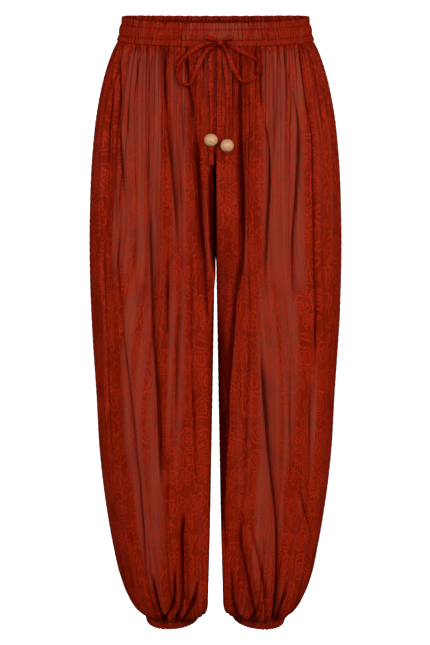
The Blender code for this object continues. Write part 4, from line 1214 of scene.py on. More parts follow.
def band_line(height, samples):
    """The plain waistband at one height: x, y, the way out and the drop of the waist."""
    quarter = np.floor(samples * 4.0).astype(int) % 4
    share = samples * 4.0 - np.floor(samples * 4.0)
    share = np.where(quarter % 2 == 0, share, 1.0 - share)
    half_width, front, back = (read_table(BAND_ROWS, column, height) for column in BandRow._fields[1:])
    before, behind = (quarter_oval(half_width, deep, HIP_ROUNDNESS, share) for deep in (front, back))
    x = np.array([-1, 1, 1, -1])[quarter] * np.where(quarter < 2, before[0], behind[0])
    y = np.where(quarter < 2, -before[1], behind[1])
    depth = np.where(quarter < 2, front, back)
    out = np.array([x / half_width ** 2, y / depth ** 2])
    return x, y, out / np.linalg.norm(out, axis=0), dip(y, depth)


def build_waistband(material):
    """The waistband: a frilled header, a channel full of elastic and a lower band, all gathered."""
    draw = np.random.default_rng(BAND_SEED)
    samples = np.arange(BAND_COLUMNS) / BAND_COLUMNS
    header, channel, broad, third, frill = (
        uneven_wave(draw, count, samples)
        for count in (BAND_GATHERS, BAND_GATHERS, BAND_BROAD_WAVES, BAND_GATHERS, BAND_GATHERS // 3))
    lower = 0.5 * channel + 0.5 * third
    outer = []
    inner = []
    places = []
    reliefs = []
    blooms = []
    heights = np.concatenate([np.linspace(BAND_TOP, BAND_UPPER_STITCH, 10),
                              np.linspace(BAND_UPPER_STITCH, BAND_LOWER_STITCH, 14)[1:],
                              np.linspace(BAND_LOWER_STITCH, BAND_FOOT, 9)[1:]])
    for height in heights:
        x, y, out, drop = band_line(height, samples)
        plain = smooth_step((PLAIN_HALF_WIDTH - np.abs(x)) / PLAIN_FADE) * (y < 0.0)
        size = PLAIN_SHARE + (1.0 - PLAIN_SHARE) * (1.0 - plain)
        rise = 0.0
        wall = BAND_WALL
        if height > BAND_UPPER_STITCH:
            share = (height - BAND_UPPER_STITCH) / (BAND_TOP - BAND_UPPER_STITCH)
            lift = (0.25 + 0.75 * share) * HEADER_GATHER * header * size
            lift += HEADER_BROAD * broad * share * size
            puff = -STITCH_PULL * (1.0 - smooth_step(share / 0.22))
            rise = HEADER_RISE * (0.6 * frill + 0.4 * header) * share ** 2 * size
        elif height > BAND_LOWER_STITCH:
            share = (height - BAND_LOWER_STITCH) / (BAND_UPPER_STITCH - BAND_LOWER_STITCH)
            belly = math.sin(math.pi * share) ** 0.5
            lift = CHANNEL_GATHER * (0.35 + 0.65 * belly) * size * (share * header + (1.0 - share) * channel)
            puff = CHANNEL_PUFF * belly - STITCH_PULL * (1.0 - belly)
            wall = CHANNEL_WALL + ELASTIC * belly
        else:
            share = (BAND_LOWER_STITCH - height) / (BAND_LOWER_STITCH - BAND_FOOT)
            lift = LOWER_GATHER * (0.3 + 0.7 * share) * lower * size
            puff = -STITCH_PULL * (1.0 - smooth_step(share / 0.25))
            puff -= FOOT_PULL * ease(share, 0.75, 1.0)
        near_foot = smooth_step(1.0 - (height - BAND_FOOT) / FOOT_WALL_REACH)
        inward = lift * (0.8 - 0.6 * near_foot) + puff * 0.3 - wall - FOOT_WALL * near_foot
        for layer, reach in ((outer, lift + puff), (inner, inward)):
            layer.append(points_of(x + out[0] * reach, y + out[1] * reach, height + drop + rise))
        arc = run_of(points_of(np.append(x, x[0]), np.append(y, y[0])))
        places.append(points_of(arc * BAND_FULLNESS, height + 0.30))
        # The band's relief, for its painted valley shade, shifted darker over the whole band.
        reliefs.append(np.clip((lift + min(puff, 0.0)) / BAND_RELIEF + BAND_SHADE_SHIFT, -1.0, 1.0))
        # A painted sheen on the front of the band near its middle.
        middle = bump((x - SHEEN_CENTRE) / SHEEN_REACH)
        blooms.append(BAND_PAINTED_SHEEN * middle * (y < 0.0) * (height > BAND_LOWER_STITCH))
    # Painted shade on the inside of the band, deeper lower down.
    shade = 0.1 + 1.1 * smooth_step((BAND_SHADE_TOP - heights) / BAND_SHADE_FADE)
    inside = np.array(reliefs) - shade[:, None]
    return add_shell("waistband_cloth", outer, inner, places, material, wrapped=True, every=2,
                     relief=[reliefs, inside], bloom=blooms)


def cuff_line(side, height, grow, angle):
    """Points round one cuff at one height of the level cuff."""
    power = 2.0 / CUFF_ROUNDNESS
    across = CUFF_CENTRE + (CUFF_HALF_WIDTH + grow) * squared_off(np.cos(angle), power)
    forward = (CUFF_HALF_DEPTH + grow) * squared_off(np.sin(angle), power)
    return points_of(side * across, forward, height + cuff_lean(side, across, forward))


def build_cuff(name, side, material):
    """A cuff: a gathered casing round a narrow elastic."""
    draw = np.random.default_rng(CUFF_SEED + side)
    samples = np.arange(CUFF_COLUMNS) / CUFF_COLUMNS
    angle = ring_angles(CUFF_COLUMNS)
    upper = uneven_wave(draw, CUFF_BAND_GATHERS, samples)
    lower = 0.6 * upper + 0.4 * uneven_wave(draw, CUFF_BAND_GATHERS, samples)
    outer = []
    inner = []
    places = []
    reliefs = []
    for share in np.linspace(0.0, 1.0, CUFF_ROWS):
        height = CUFF_TOP + (CUFF_FOOT - CUFF_TOP) * share
        belly = math.sin(math.pi * min(share / 0.78, 1.0)) ** 0.5
        gather = CUFF_BAND_GATHER * (0.45 + 0.55 * belly) * ((1.0 - share) * upper + share * lower)
        puff = CUFF_PUFF * belly - CUFF_PULL * (1.0 - belly)
        puff += CUFF_HEM_PUFF * ease(share, 0.85, 1.0)
        hem = height - CUFF_HEM_WAVE * share ** 2 * lower
        outer.append(cuff_line(side, hem, gather + puff, angle))
        inner.append(cuff_line(side, hem, gather * 0.6 - CUFF_WALL, angle))
        places.append(points_of(np.append(samples, 1.0) * CUFF_CUT[0] + 0.2 * side, height + 0.07))
        # The cuff's relief, for its painted valley shade.
        reliefs.append(np.clip((gather + min(puff, 0.0)) / CUFF_RELIEF + CUFF_SHADE_SHIFT, -1.0, 1.0))
    return add_shell(name, outer, inner, places, material, wrapped=True, relief=reliefs)


def band_stitches(name, height, material):
    """One line of stitches round the waistband."""
    fine = np.linspace(0.0, 1.0, 4001)
    x, y, _, _ = band_line(height, fine % 1.0)
    arcs = run_of(points_of(x, y))
    count = int(arcs[-1] / STITCH_PITCH)
    spots = (np.arange(count)[:, None] + STITCH_SPAN) / count * arcs[-1]
    x, y, out, drop = band_line(height, np.interp(spots, arcs, fine) % 1.0)
    ends = points_of(x + out[0] * STITCH_STAND, y + out[1] * STITCH_STAND, height + drop)
    return add_capsules(name, ends, STITCH_RADIUS, material)


def cuff_stitches(name, side, material):
    """The line of stitches near the lower edge of a cuff."""
    height = CUFF_TOP + (CUFF_FOOT - CUFF_TOP) * CUFF_STITCH_SHARE
    angle = 2.0 * math.pi * (np.arange(CUFF_STITCHES)[:, None] + STITCH_SPAN) / CUFF_STITCHES
    ends = cuff_line(side, height, CUFF_STITCH_STAND, angle)
    return add_capsules(name, ends, STITCH_RADIUS, material)


# ---------------------------------------------------------------- drawstring
def cloth_front(x, height):
    """How far forward the front of the garment reaches at a place in front view."""
    row_height = height + FRONT_DROP * ease(height, DIP_END, 0.0)
    rows = BAND_ROWS if row_height > PANEL_TOP else SECTIONS
    half_width = read_table(rows, "half_width", row_height)
    flat = 1.0 - (abs(x) / half_width) ** HIP_ROUNDNESS
    return read_table(rows, "front_depth", row_height) * flat ** (1.0 / HIP_ROUNDNESS)


def on_front(x, height, stand_off):
    """A point so far in front of the cloth."""
    return np.array((x, -cloth_front(x, height) - stand_off, height))


def smooth_route(rows, count):
    """Read a route at even steps on a smooth curve through its rows."""
    table = np.array([(*on_front(row.x, row.height, row.stand_off), math.radians(row.roll), row.spread)
                      for row in rows])
    knots = run_of(table[:, :3])
    return np.array([read_curve(knots, table, place) for place in np.linspace(0.0, knots[-1], count)])


def tape_round():
    """Across and out, from -1 to 1, of the points round a folded tape, the last one the first."""
    angle = ring_angles(TAPE_SIDES, closed=True)
    return squared_off(np.cos(angle), 0.8), squared_off(np.sin(angle), 0.55)


def tape_shade():
    """Relief round one ring of the tape: its two edges lie in their own shade."""
    reach = np.abs(tape_round()[0][:-1])
    return -TAPE_EDGE_SHADE * ease(reach, 0.55, 1.0)


def build_tape(name, material):
    """One stretch of the drawstring, flat and folded, and the points that it follows."""
    count, rows = ROUTES[name]
    route = smooth_route(rows, count * TAPE_DETAIL)
    centres = route[:, :3]
    along = run_of(centres)[:, None]
    roll = route[:, 3:4]
    spread = route[:, 4:]
    tangents = np.gradient(centres, axis=0)
    tangents /= np.linalg.norm(tangents, axis=1)[:, None]
    facing = np.array((0.0, -1.0, 0.0)) + tangents * tangents[:, 1:2]
    facing /= np.linalg.norm(facing, axis=1)[:, None]
    wide = np.cross(tangents, facing)
    width = np.cos(roll) * wide + np.sin(roll) * facing
    thick = np.cos(roll) * facing - np.sin(roll) * wide
    waver = np.random.default_rng(sum(map(ord, name))).uniform(0.0, 6.0, 4)
    reach, rise = tape_round()

    def ripple(size, pace, number, slant=0.0):
        return size * np.sin(along * pace + slant * reach + waver[number])

    half = TAPE_WIDTH * spread / 2.0 * (1.0 + ripple(0.07, 260.0, 0) + ripple(0.06, 690.0, 3))
    deep = TAPE_THICKNESS / 2.0 * (1.0 + ripple(0.12, 410.0, 1)) * (1.0 + 0.9 * (1.0 - spread))
    groove = 1.0 - TAPE_GROOVE * np.exp(-((reach - TAPE_GROOVE_PLACE) / TAPE_GROOVE_REACH) ** 2)
    cup = (reach ** 2 - 0.5) * ripple(TAPE_CUP, 95.0, 2)
    wrinkle = ripple(TAPE_WRINKLE, 1300.0, 3, 3.0) + ripple(TAPE_WRINKLE * 1.1, 610.0, 0, -5.0)
    out = rise * deep * groove + cup * spread + wrinkle * np.abs(rise)
    rings = (centres[:, None] + width[:, None] * (reach * half)[..., None]
             + thick[:, None] * out[..., None])
    item = add_tube(name.replace("drawstring", "tape"), rings, along[:, 0], TAPE_GIRTH, material,
                    shade=tape_shade())
    return item, centres


def build_knot(material):
    """The bow's knot: a crumpled core with one turn of the tape round it."""
    centre = on_front(*KNOT_CENTRE, KNOT_STAND_OFF)
    wide, deep, high = KNOT_HALF_SIZE
    turn = np.linspace(0.0, 2.0 * math.pi, 41)[:, None]
    reach, rise = tape_round()
    out = np.concatenate([KNOT_TURN_SLANT * np.sin(turn), np.cos(turn) * deep / high, np.sin(turn)], axis=1)
    crumple = 1.0 + 0.22 * np.sin(3.0 * turn + 2.0 * reach) + 0.16 * np.sin(9.0 * reach)
    swell = rise * KNOT_TURN_HALF_THICKNESS * crumple - KNOT_TURN_CUP * reach ** 2
    rings = (centre + out * high * KNOT_TURN_SHARE)[:, None] + out[:, None] * swell[..., None]
    rings[..., 0] += reach * KNOT_TURN_HALF_WIDTH + KNOT_TURN_SKEW * np.sin(2.0 * turn)
    wrap = add_tube("tape_knot_turn", rings, turn[:, 0] * high, TAPE_GIRTH, material, caps=False,
                    shade=tape_shade())
    lift = math.pi * (np.arange(15)[:, None] + 0.5) / 15.0
    angle = ring_angles(24, closed=True)
    crumple = 1.0 + 0.07 * np.sin(3.0 * angle + 2.0 * lift) + 0.05 * np.sin(5.0 * angle - lift)
    size = KNOT_CORE_SHARE * np.sin(lift) * crumple
    rings = centre + points_of(np.cos(lift) * wide, np.cos(angle) * deep * size,
                               np.sin(angle) * high * size)
    return wrap, add_tube("tape_knot_core", rings, lift[:, 0] * 0.006, 0.02, material)


def build_bead(name, bead, material):
    """A turned wooden bead with a bored hole."""
    flat = math.asin(BEAD_BORE / BEAD_DIAMETER)
    angle = np.linspace(flat, math.pi - flat, BEAD_ROWS)
    radius = BEAD_DIAMETER / 2.0 * np.sin(angle)
    radius[[0, -1]] += BEAD_LIP * 0.3
    rise = BEAD_HEIGHT / 2.0 * np.cos(angle) / math.cos(flat)
    inside = BEAD_HEIGHT / 2.0 - BEAD_LIP
    radius = np.append(radius, [BEAD_BORE / 2.0 - 0.0002] * 3)[:, None]
    rise = np.append(rise, (-inside, 0.0, inside))[:, None]
    turn = ring_angles(BEAD_SIDES)
    vertices = points_of(bead.x + radius * np.cos(turn), BEAD_FRONT + radius * np.sin(turn),
                         bead.height + rise)
    faces = tube_faces(len(radius), BEAD_SIDES, looped=True)
    return face_out(add_mesh(name, vertices, faces, None, material))


def build_stop_knot(name, bead, turn, material):
    """The knot that holds a bead on, and the flared tail of tape below it."""
    top = bead.height - BEAD_HEIGHT / 2.0 - SEAM_GAP
    shares = np.append(np.linspace(-0.10, STOP_KNOT_FOOT, 22), np.linspace(STOP_KNOT_FOOT, 1.0, 18)[1:])
    table = np.array(STOP_KNOT)
    sizes = [read_curve(table[:, 0], table[:, 1:], share) / 1000.0 for share in shares]
    half_width, half_thickness = np.transpose(sizes)[:, :, None]
    share = shares[:, None]
    height = top + (bead.tail_end - top) * share
    lump = bump((share - STOP_KNOT_MIDDLE) / STOP_KNOT_REACH)
    tail = ease(share, *TAIL_SPAN)
    angle = ring_angles(STOP_KNOT_SIDES, closed=True)
    wraps = np.sin(2.0 * angle * turn + share * STOP_KNOT_WRAPS)
    grow = 1.0 + lump * STOP_KNOT_GROOVE * (np.abs(wraps) ** 0.5 * 2.0 - 1.3)
    power = 1.0 - 0.35 * tail
    reach = squared_off(np.cos(angle), power)
    rise = squared_off(np.sin(angle), power)
    curl = TAIL_CURL * tail * np.sin(reach * 2.6 + turn) * (0.4 + share)
    ragged = TAIL_RAGGED * tail * (share > 0.985) * np.sin(7.0 * reach + turn)
    rings = points_of(bead.x + half_width * grow * reach + turn * TAIL_SHIFT * tail,
                      BEAD_FRONT + half_thickness * grow * rise + curl, height - ragged)
    return add_tube(name, rings, height[:, 0], 2.0 * TAPE_WIDTH, material)


def build_eyelet(name, x, top, foot, thread, dark):
    """A worked buttonhole in the waistband: the threads bound round it, and a dark sheet in its hole as
    painted shadow.
    """
    half = (top - foot) / 2.0
    middle = (top + foot) / 2.0
    ends = []
    for index in range(EYELET_THREADS):
        part, share = divmod(4.0 * index / EYELET_THREADS, 1.0)
        sign = 1.0 if part in (0.0, 3.0) else -1.0
        turn = math.pi * share if part % 2.0 else 0.0
        rise = sign * half * (1.0 if part % 2.0 else 1.0 - 2.0 * share)
        for reach in (EYELET_HALF_WIDTH, EYELET_HALF_WIDTH + EYELET_THREAD_LENGTH):
            ends.append(on_front(x + sign * math.cos(turn) * reach,
                                 middle + rise + sign * math.sin(turn) * reach, EYELET_STAND))
    threads = add_capsules(f"{name}_threads", np.reshape(ends, (-1, 2, 3)), EYELET_THREAD_RADIUS, thread)
    # A thin dark sheet in the hole, painted as its shadow.
    layers = []
    for stand in (EYELET_STAND * 0.8, -SLIT_DEPTH):
        rows = []
        for turn in np.linspace(0.0, math.pi, SLIT_ROWS):
            width = EYELET_HALF_WIDTH * (0.15 + 0.95 * max(math.sin(turn), 0.0) ** 0.4)
            rows.append([on_front(x + width * share, middle + half * 1.04 * math.cos(turn), stand)
                         for share in (-1.0, -0.5, 0.0, 0.5, 1.0)])
        layers.append(rows)
    slit_shadow_sheet = add_shell(f"{name}_slit", *layers, np.zeros((SLIT_ROWS, 6, 2)), dark)
    return threads, slit_shadow_sheet


# ---------------------------------------------------------------- materials
class Wire:
    """What a shader node puts out, with sums written as usual."""

    def __init__(self, graph, socket):
        self.graph = graph
        self.socket = socket

    def __add__(self, other):
        return self.graph.math("ADD", self, other)

    def __sub__(self, other):
        return self.graph.math("SUBTRACT", self, other)

    def __rsub__(self, other):
        return self.graph.math("SUBTRACT", other, self)

    def __mul__(self, other):
        return self.graph.math("MULTIPLY", self, other)

    def __truediv__(self, other):
        return self.graph.math("DIVIDE", self, other)

    def __abs__(self):
        return self.graph.math("ABSOLUTE", self)


class Graph:
    """Short calls for adding shader nodes to one material."""

    def __init__(self, name):
        self.material = bpy.data.materials.new(name)
        self.material.use_nodes = True
        self.tree = self.material.node_tree

    def fill(self, node, inputs):
        """Link or set the inputs of a node, by name or number."""
        for key, value in inputs.items():
            if isinstance(value, Wire):
                self.tree.links.new(value.socket, node.inputs[key])
            else:
                node.inputs[key].default_value = value

    def add(self, kind, inputs, *outputs, **settings):
        """A node, and what it puts out at one or more places."""
        node = self.tree.nodes.new(kind)
        for key, value in settings.items():
            setattr(node, key, value)
        self.fill(node, inputs)
        wires = [Wire(self, node.outputs[key]) for key in outputs]
        return wires if len(wires) > 1 else wires[0]

    def finish(self, **inputs):
        """The material, with the inputs of its shader given."""
        named = {key.replace("_", " "): value for key, value in inputs.items()}
        self.fill(self.tree.nodes["Principled BSDF"], named)
        return self.material

    def math(self, operation, one, two=0.0, clamp=False):
        """One step of sums on numbers."""
        return self.add("ShaderNodeMath", {0: one, 1: two}, 0, operation=operation, use_clamp=clamp)

    def vector(self, operation, one, two=(0.0, 0.0, 0.0), three=(0.0, 0.0, 0.0)):
        """One step of sums on vectors."""
        result = "Value" if operation == "LENGTH" else "Vector"
        return self.add("ShaderNodeVectorMath", {0: one, 1: two, 2: three}, result, operation=operation)

    def noise(self, place, scale, detail=2.0, roughness=0.5, output="Fac"):
        """Smooth noise, with one scale or one for each direction."""
        if isinstance(scale, tuple):
            place = self.vector("MULTIPLY", place, scale)
            scale = 1.0
        inputs = {"Vector": place, "Scale": scale, "Detail": detail, "Roughness": roughness}
        return self.add("ShaderNodeTexNoise", inputs, output, noise_dimensions="3D")

    def step(self, value, low, high):
        """A smooth rise from 0 at low to 1 at high."""
        return self.add("ShaderNodeMapRange", {"Value": value, "From Min": low, "From Max": high},
                        "Result", interpolation_type="SMOOTHSTEP")

    def mix(self, share, one, two):
        """A colour between two colours."""
        return self.add("ShaderNodeMix", {"Factor": share, 6: one, 7: two}, 2, data_type="RGBA")

    def split(self, vector):
        """The three numbers of a vector."""
        return self.add("ShaderNodeSeparateXYZ", {0: vector}, 0, 1, 2)

    def bumps(self, height, strength, distance):
        """A normal that shows small heights."""
        return self.add("ShaderNodeBump", {"Height": height, "Strength": strength, "Distance": distance}, 0)

    def cells(self, place, size, shift, *outputs, feature="F1"):
        """Scattered cells of about one size."""
        moved = self.vector("ADD", place, shift)
        inputs = {"Vector": moved, "Scale": 1.0 / size, "Randomness": CELL_RANDOMNESS}
        return moved, self.add("ShaderNodeTexVoronoi", inputs, *outputs, voronoi_dimensions="2D",
                               feature=feature)


def wavy_ring(graph, place, radius, wave, lobes, phase, centre=MIDDLE):
    """Distance to a hand-drawn ring, wavy and round its own centre, and distance to that."""
    local = graph.vector("SUBTRACT", place, centre)
    length = graph.vector("LENGTH", local)
    x, y, _ = graph.split(local)
    turned = graph.math("ARCTAN2", y, x) * float(lobes) + phase
    edge = graph.math("COSINE", turned) * (radius * wave) + radius
    slope = graph.math("SINE", turned) * (wave * lobes)
    return abs(length - edge) / graph.math("SQRT", slope * slope + 1.0), length


def nearest(graph, distance, *others):
    """The smallest of several distances."""
    for other in others:
        distance = graph.math("MINIMUM", distance, other)
    return distance


def cell_place(graph, place, size, shift):
    """A turned place in each cell, from its middle, and three random numbers for it."""
    moved, (middle, colour) = graph.cells(place, size, shift, "Position", "Color")
    chance = graph.add("ShaderNodeSeparateColor", {0: colour}, 0, 1, 2)
    local = graph.vector("SUBTRACT", moved, middle)
    return graph.add("ShaderNodeVectorRotate", {"Vector": local, "Angle": chance[0] * (2.0 * math.pi)}, 0,
                     rotation_type="Z_AXIS"), chance


def flower(graph, place, phase, rows):
    """Nested wavy rings round an eye."""
    rings = [wavy_ring(graph, place, *row[:3], phase + row[3], row[4]) for row in rows]
    eye = abs(rings[-1][1] - EYE_RADIUS)
    return nearest(graph, eye, *(ring[0] for ring in rings))


def frond(graph, place):
    """A spray of round-tipped fingers on one stalk."""
    moved = graph.vector("ADD", place, (FROND_STALK, 0.0, 0.0))
    x, y, _ = graph.split(moved)
    length = graph.vector("LENGTH", moved)
    angle = graph.math("ARCTAN2", y, x)
    reach = graph.math("COSINE", angle) * FROND_LEAN + FROND_REACH
    edge = reach * (graph.math("COSINE", angle * FROND_FINGERS) * 0.18 + 0.86)
    slope = graph.math("SINE", angle * FROND_FINGERS) * 1.6
    outline = abs(length - edge) / graph.math("SQRT", slope * slope + 1.0)
    half = math.pi / FROND_FINGERS
    veins = graph.math("PINGPONG", angle + half, half) * length
    veins = veins + graph.step(length / reach, *VEIN_TIP) * FAR + graph.step(length, *VEIN_ROOT) * FAR
    return nearest(graph, outline, veins)


def leaf(graph, place):
    """A pointed leaf with one vein."""
    x, y, _ = graph.split(place)
    along = x / LEAF_LENGTH
    outline = abs(abs(y) - (1.0 - along * along) * LEAF_HALF_WIDTH)
    return nearest(graph, outline, abs(y) + 0.0003) + graph.step(abs(along), 0.98, 1.02) * FAR


def wobbled(graph, place, flat, scale, size):
    """A place moved about at random, half of size at most."""
    noise = graph.vector("SUBTRACT", graph.noise(flat, scale, 0.0, output="Color"), (0.5, 0.5, 0.5))
    return graph.vector("MULTIPLY_ADD", noise, (size, size, size), place)


def print_lines(graph, flat):
    """The print: 1 on a drawn line and 0 off it."""
    place = graph.vector("MULTIPLY", flat, (PRINT_SQUEEZE, 1.0, 0.0))
    for scale, size in PRINT_WOBBLES:
        place = wobbled(graph, place, flat, scale, size)
    place = graph.vector("MULTIPLY", place, (1.0, 1.0, 0.0))
    local, chance = cell_place(graph, place, MOTIF_SIZE, MOTIF_SHIFT)
    phase = chance[2] * 6.0
    is_rose = graph.math("LESS_THAN", chance[1], ROSES_BELOW)
    is_flower = graph.math("GREATER_THAN", chance[1], FLOWERS_ABOVE)
    is_frond = 1.0 - (is_rose + is_flower)
    motifs = (flower(graph, local, phase, FLOWER_RINGS) * is_flower
              + flower(graph, local, phase, ROSE_RINGS) * is_rose + frond(graph, local) * is_frond)
    clear = is_rose * ROSE_CLEAR + is_flower * FLOWER_CLEAR + is_frond * FROND_CLEAR
    wavy = wobbled(graph, place, flat, *OUTLINE_WOBBLE)
    border = graph.cells(wavy, MOTIF_SIZE, MOTIF_SHIFT, "Distance", feature="DISTANCE_TO_EDGE")[1]
    ringed = graph.math("LESS_THAN", chance[0], OUTLINES_BELOW)
    outline = abs(border * MOTIF_SIZE - OUTLINE_GAP) + (1.0 - ringed) * FAR
    spot, luck = cell_place(graph, place, LEAF_SIZE, LEAF_SHIFT)
    taken = graph.math("LESS_THAN", graph.vector("LENGTH", local), clear)
    taken = graph.math("MAXIMUM", taken, ringed) * FAR
    is_leaf = graph.math("GREATER_THAN", luck[1], LEAVES_ABOVE)
    bud = wavy_ring(graph, spot, *BUD_RING, luck[2] * 6.0)[0] * (1.0 - is_leaf)
    gap = nearest(graph, motifs, outline, leaf(graph, spot) * is_leaf + bud + taken)
    ragged = graph.noise(flat, 700.0, 1.0) * LINE_RAGGED + (LINE_HALF_WIDTH - LINE_RAGGED / 2.0)
    return 1.0 - graph.step(gap, ragged - LINE_BLUR, ragged + LINE_BLUR)


def shaded(colour, share=1.0):
    """A colour made lighter or darker, with its alpha."""
    return tuple(part * share for part in colour) + (1.0,)


def cloth_material(name, strength, cloth_bump, tone_share=1.0, pleat_shade=0.0, crumple_shade=0.0):
    """Crinkled crepe with a tone-on-tone print of flowers and leaves, with painted sheen and painted shade.
    """
    graph = Graph(name)
    flat = graph.add("ShaderNodeUVMap", {}, 0, uv_map="cloth")
    relief, bloom = (graph.add("ShaderNodeAttribute", {}, "Fac", attribute_name=mark)
                     for mark in ("relief", "bloom"))
    lines = print_lines(graph, flat)
    faded = graph.math("ADD", graph.noise(flat, 30.0) * 0.8, 0.45, clamp=True)
    tone = graph.mix(graph.step(graph.noise(flat, 24.0), 0.3, 0.7), shaded(GROUND_DEEP, tone_share),
                     shaded(GROUND, tone_share))
    # Painted sheen: pale streaks, paler on ridges and in the listed strips, with the print fainter under it.
    painted_sheen_share = graph.noise(flat, SHEEN_STREAK_SCALE, 3.0) + relief * 0.12 + bloom * 0.36
    painted_sheen_share = graph.step(painted_sheen_share, 0.50, 0.98)
    tone = graph.mix(painted_sheen_share, tone, shaded(PAINTED_SHEEN_COLOUR))
    colour = graph.mix(lines * faded * strength * (1.0 - painted_sheen_share * 0.25), tone, shaded(PRINT_COLOUR))
    crinkle = graph.noise(flat, CRINKLE_SCALE, 3.0)
    pleats = abs(graph.noise(flat, PLEAT_SCALE, 0.0) - 0.5)
    height = graph.split(flat)[1]
    near_ends = graph.math("MAXIMUM", graph.step(height, -0.46, -0.06), graph.step(height, -0.70, -0.88))
    pleats = graph.step(pleats, PLEAT_WIDTH, 0.0) * (near_ends * 0.85 + 0.15)
    # Dark blotches, painted as the shade of small crumples on the tape.
    spots = graph.step(graph.noise(flat, 270.0, 3.0), 0.56, 0.36)
    # Painted shade, mixed towards a dark red: in valleys by their relief, in crinkles, along thin pleat lines
    # and in blotches.
    shade = graph.step(relief, -0.22, -1.10) * VALLEY_SHADE
    for part, share in ((graph.step(crinkle, 0.43, 0.30), CRINKLE_SHADE), (pleats, pleat_shade),
                        (spots, crumple_shade)):
        shade = graph.math("ADD", part * share, shade, clamp=True)
    streaks = graph.noise(flat, STREAK_SCALE, 3.0)
    crepe = graph.noise(flat, CREPE_SCALE)
    rough_cloth = crepe * 0.25 + streaks + crinkle * 1.4 + lines * 0.06
    return graph.finish(Base_Color=graph.mix(shade, colour, shaded(VALLEY_SHADE_COLOUR)),
                        Normal=graph.bumps(rough_cloth, 1.0, cloth_bump),
                        Roughness=graph.noise(flat, 18.0) * 0.16 + (CLOTH_ROUGHNESS - 0.08),
                        Specular_IOR_Level=CLOTH_SPECULAR)


def wood_material():
    """Pale turned wood, with a fine grain along the hole."""
    graph = Graph("bead_wood_grain")
    place = graph.add("ShaderNodeTexCoord", {}, "Object")
    grain = graph.noise(place, GRAIN_SCALE, 3.0, 0.6)
    rings = graph.noise(place, WOOD_RING_SCALE, 1.0)
    colour = graph.mix(graph.step(grain, 0.30, 0.75), shaded(WOOD_DARK), shaded(WOOD))
    colour = graph.mix(graph.step(rings, 0.55, 0.75) * 0.35, colour, shaded(WOOD_DARK))
    return graph.finish(Base_Color=colour, Normal=graph.bumps(grain, 0.5, 0.0001), Roughness=0.42,
                        Coat_Weight=0.15, Coat_Roughness=0.35)


def thread_material(name, colour):
    """Sewing thread."""
    graph = Graph(name)
    tone = graph.noise(graph.add("ShaderNodeTexCoord", {}, "Object"), 2500.0, 1.0)
    return graph.finish(Base_Color=graph.mix(tone, shaded(colour, 0.6), shaded(colour)), Roughness=0.8,
                        Specular_IOR_Level=0.1)


def plain_material(name, colour, glow=0.0):
    """One even finish."""
    return Graph(name).finish(Base_Color=shaded(colour), Roughness=0.9, Emission_Color=WHITE,
                              Emission_Strength=glow)


# ---------------------------------------------------------------- stage
def build_stage(material):
    """A plain pale floor that curves up into a wall all round."""
    turn = math.pi / 2.0 * np.arange(1, STAGE_STEPS + 1) / STAGE_STEPS
    radius = np.concatenate([(STAGE_NEAR, STAGE_FLAT), STAGE_FLAT + STAGE_CURVE * np.sin(turn),
                             [STAGE_FLAT + STAGE_CURVE]])[:, None]
    rise = np.concatenate([(0.0, 0.0), STAGE_CURVE * (1.0 - np.cos(turn)), [STAGE_HEIGHT]])[:, None]
    angle = ring_angles(STAGE_SIDES)
    vertices = points_of(radius * np.cos(angle), radius * np.sin(angle), STAGE_FLOOR + rise)
    faces = [list(range(STAGE_SIDES))] + tube_faces(len(radius), STAGE_SIDES)
    item = add_mesh("stage_floor", vertices, faces, None, material)
    item.visible_diffuse = False
    item.visible_glossy = False


def aim(item):
    """Put an object in the scene and turn it to the middle of the garment."""
    item.rotation_euler = (CAMERA_TARGET - item.location).to_track_quat("-Z", "Y").to_euler()
    bpy.context.scene.collection.objects.link(item)


def add_camera():
    """The camera, far off and a little above the middle."""
    data = bpy.data.cameras.new("camera")
    data.lens = CAMERA_LENS
    data.sensor_width = SENSOR_WIDTH
    data.sensor_fit = "AUTO"
    item = bpy.data.objects.new("camera", data)
    item.location = CAMERA_TARGET + CAMERA_DISTANCE * Vector(
        (0.0, -math.cos(CAMERA_ELEVATION), math.sin(CAMERA_ELEVATION)))
    aim(item)
    bpy.context.scene.camera = item


def add_light():
    """Soft round lights that look at the middle of the garment, and an even room."""
    for name, place, size, energy in LIGHTS:
        data = bpy.data.lights.new(name, "AREA")
        data.shape = "DISK"
        data.size = size
        data.energy = energy
        item = bpy.data.objects.new(name, data)
        item.location = place
        item.visible_glossy = place[1] < -3.0
        item.visible_camera = False
        aim(item)
    world = bpy.data.worlds.new("room")
    world.cycles_visibility.glossy = False
    world.use_nodes = True
    room = world.node_tree.nodes["Background"]
    room.inputs["Color"].default_value = WHITE
    room.inputs["Strength"].default_value = ROOM_LIGHT
    bpy.context.scene.world = world
    bpy.context.scene.view_settings.view_transform = "Standard"


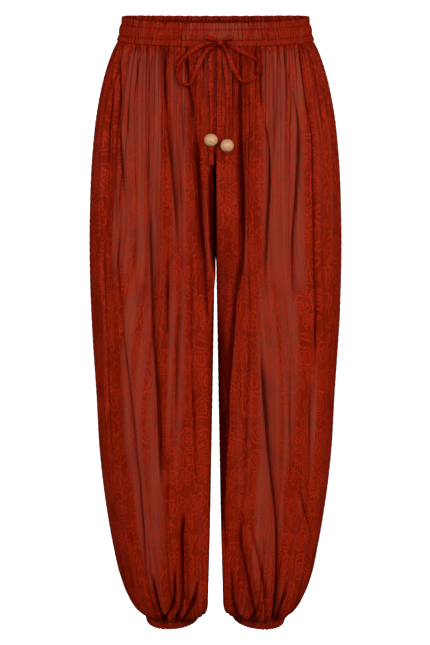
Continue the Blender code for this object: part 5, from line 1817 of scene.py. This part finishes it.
# ---------------------------------------------------------------- the garment
def dress(item, slot, *nodes):
    """Attach one piece to the body, and hide the parts of the model that it stands for."""
    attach(item, BODY)
    if nodes:
        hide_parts(*nodes)
    return item


def build_drawstring(tape, wood):
    """The bow, its two free ends, and the beads on them."""
    paths = {}
    for name in ROUTES:
        item, paths[name] = build_tape(name, tape)
        dress(item, "tape", name)
    wrap, core = build_knot(tape)
    dress(wrap, "tape", "drawstring_knot")
    dress(core, "tape")
    for side, turn in (("left", 1), ("right", -1)):
        bead = dress(build_bead(f"wood_bead_{side}", BEADS[side], wood), "bead", f"bead_{side}")
        knot = dress(build_stop_knot(f"tape_stop_{side}", BEADS[side], turn, tape), "tape",
                     f"stop_knot_{side}")


def build_garment():
    """Every piece of cloth, sewing and trim."""
    cloth = cloth_material("printed_crepe_cloth", 1.0, 0.0012, pleat_shade=PLEAT_SHADE)
    gathered = cloth_material("printed_crepe_gathered", 0.60, 0.0012)
    tape = cloth_material("tape_crepe", 0.35, 0.0010, TAPE_TONE, crumple_shade=TAPE_CRUMPLE_SHADE)
    thread = thread_material("red_thread", THREAD_COLOUR)
    pale_thread = thread_material("eyelet_thread", EYELET_COLOUR)
    dark = plain_material("slit_shadow", SLIT_SHADOW_COLOUR)
    build_drawstring(tape, wood_material())
    band = dress(build_waistband(gathered), "cloth", "waistband")
    for name, height in (("upper", BAND_UPPER_STITCH), ("lower", BAND_LOWER_STITCH)):
        dress(band_stitches(f"waist_stitches_{name}", height, thread), None)
    for name, x, top, foot in EYELETS:
        for piece in build_eyelet(name, x, top, foot, pale_thread, dark):
            dress(piece, None)
    for side, side_name in ((-1, "left"), (1, "right")):
        for face, face_name in ((-1, "front"), (1, "back")):
            node = f"leg_{face_name}_{side_name}"
            panel = dress(build_panel(node, side, face, cloth), "cloth", node)
        cuff = dress(build_cuff(f"cuff_cloth_{side_name}", side, gathered), "cloth", f"cuff_{side_name}")
        dress(cuff_stitches(f"cuff_stitches_{side_name}", side, thread), None)


def main():
    """Camera and light, the stage, then the garment."""
    add_camera()
    add_light()
    build_stage(plain_material("floor_white", FLOOR_COLOUR, STAGE_GLOW))
    build_garment()


main()
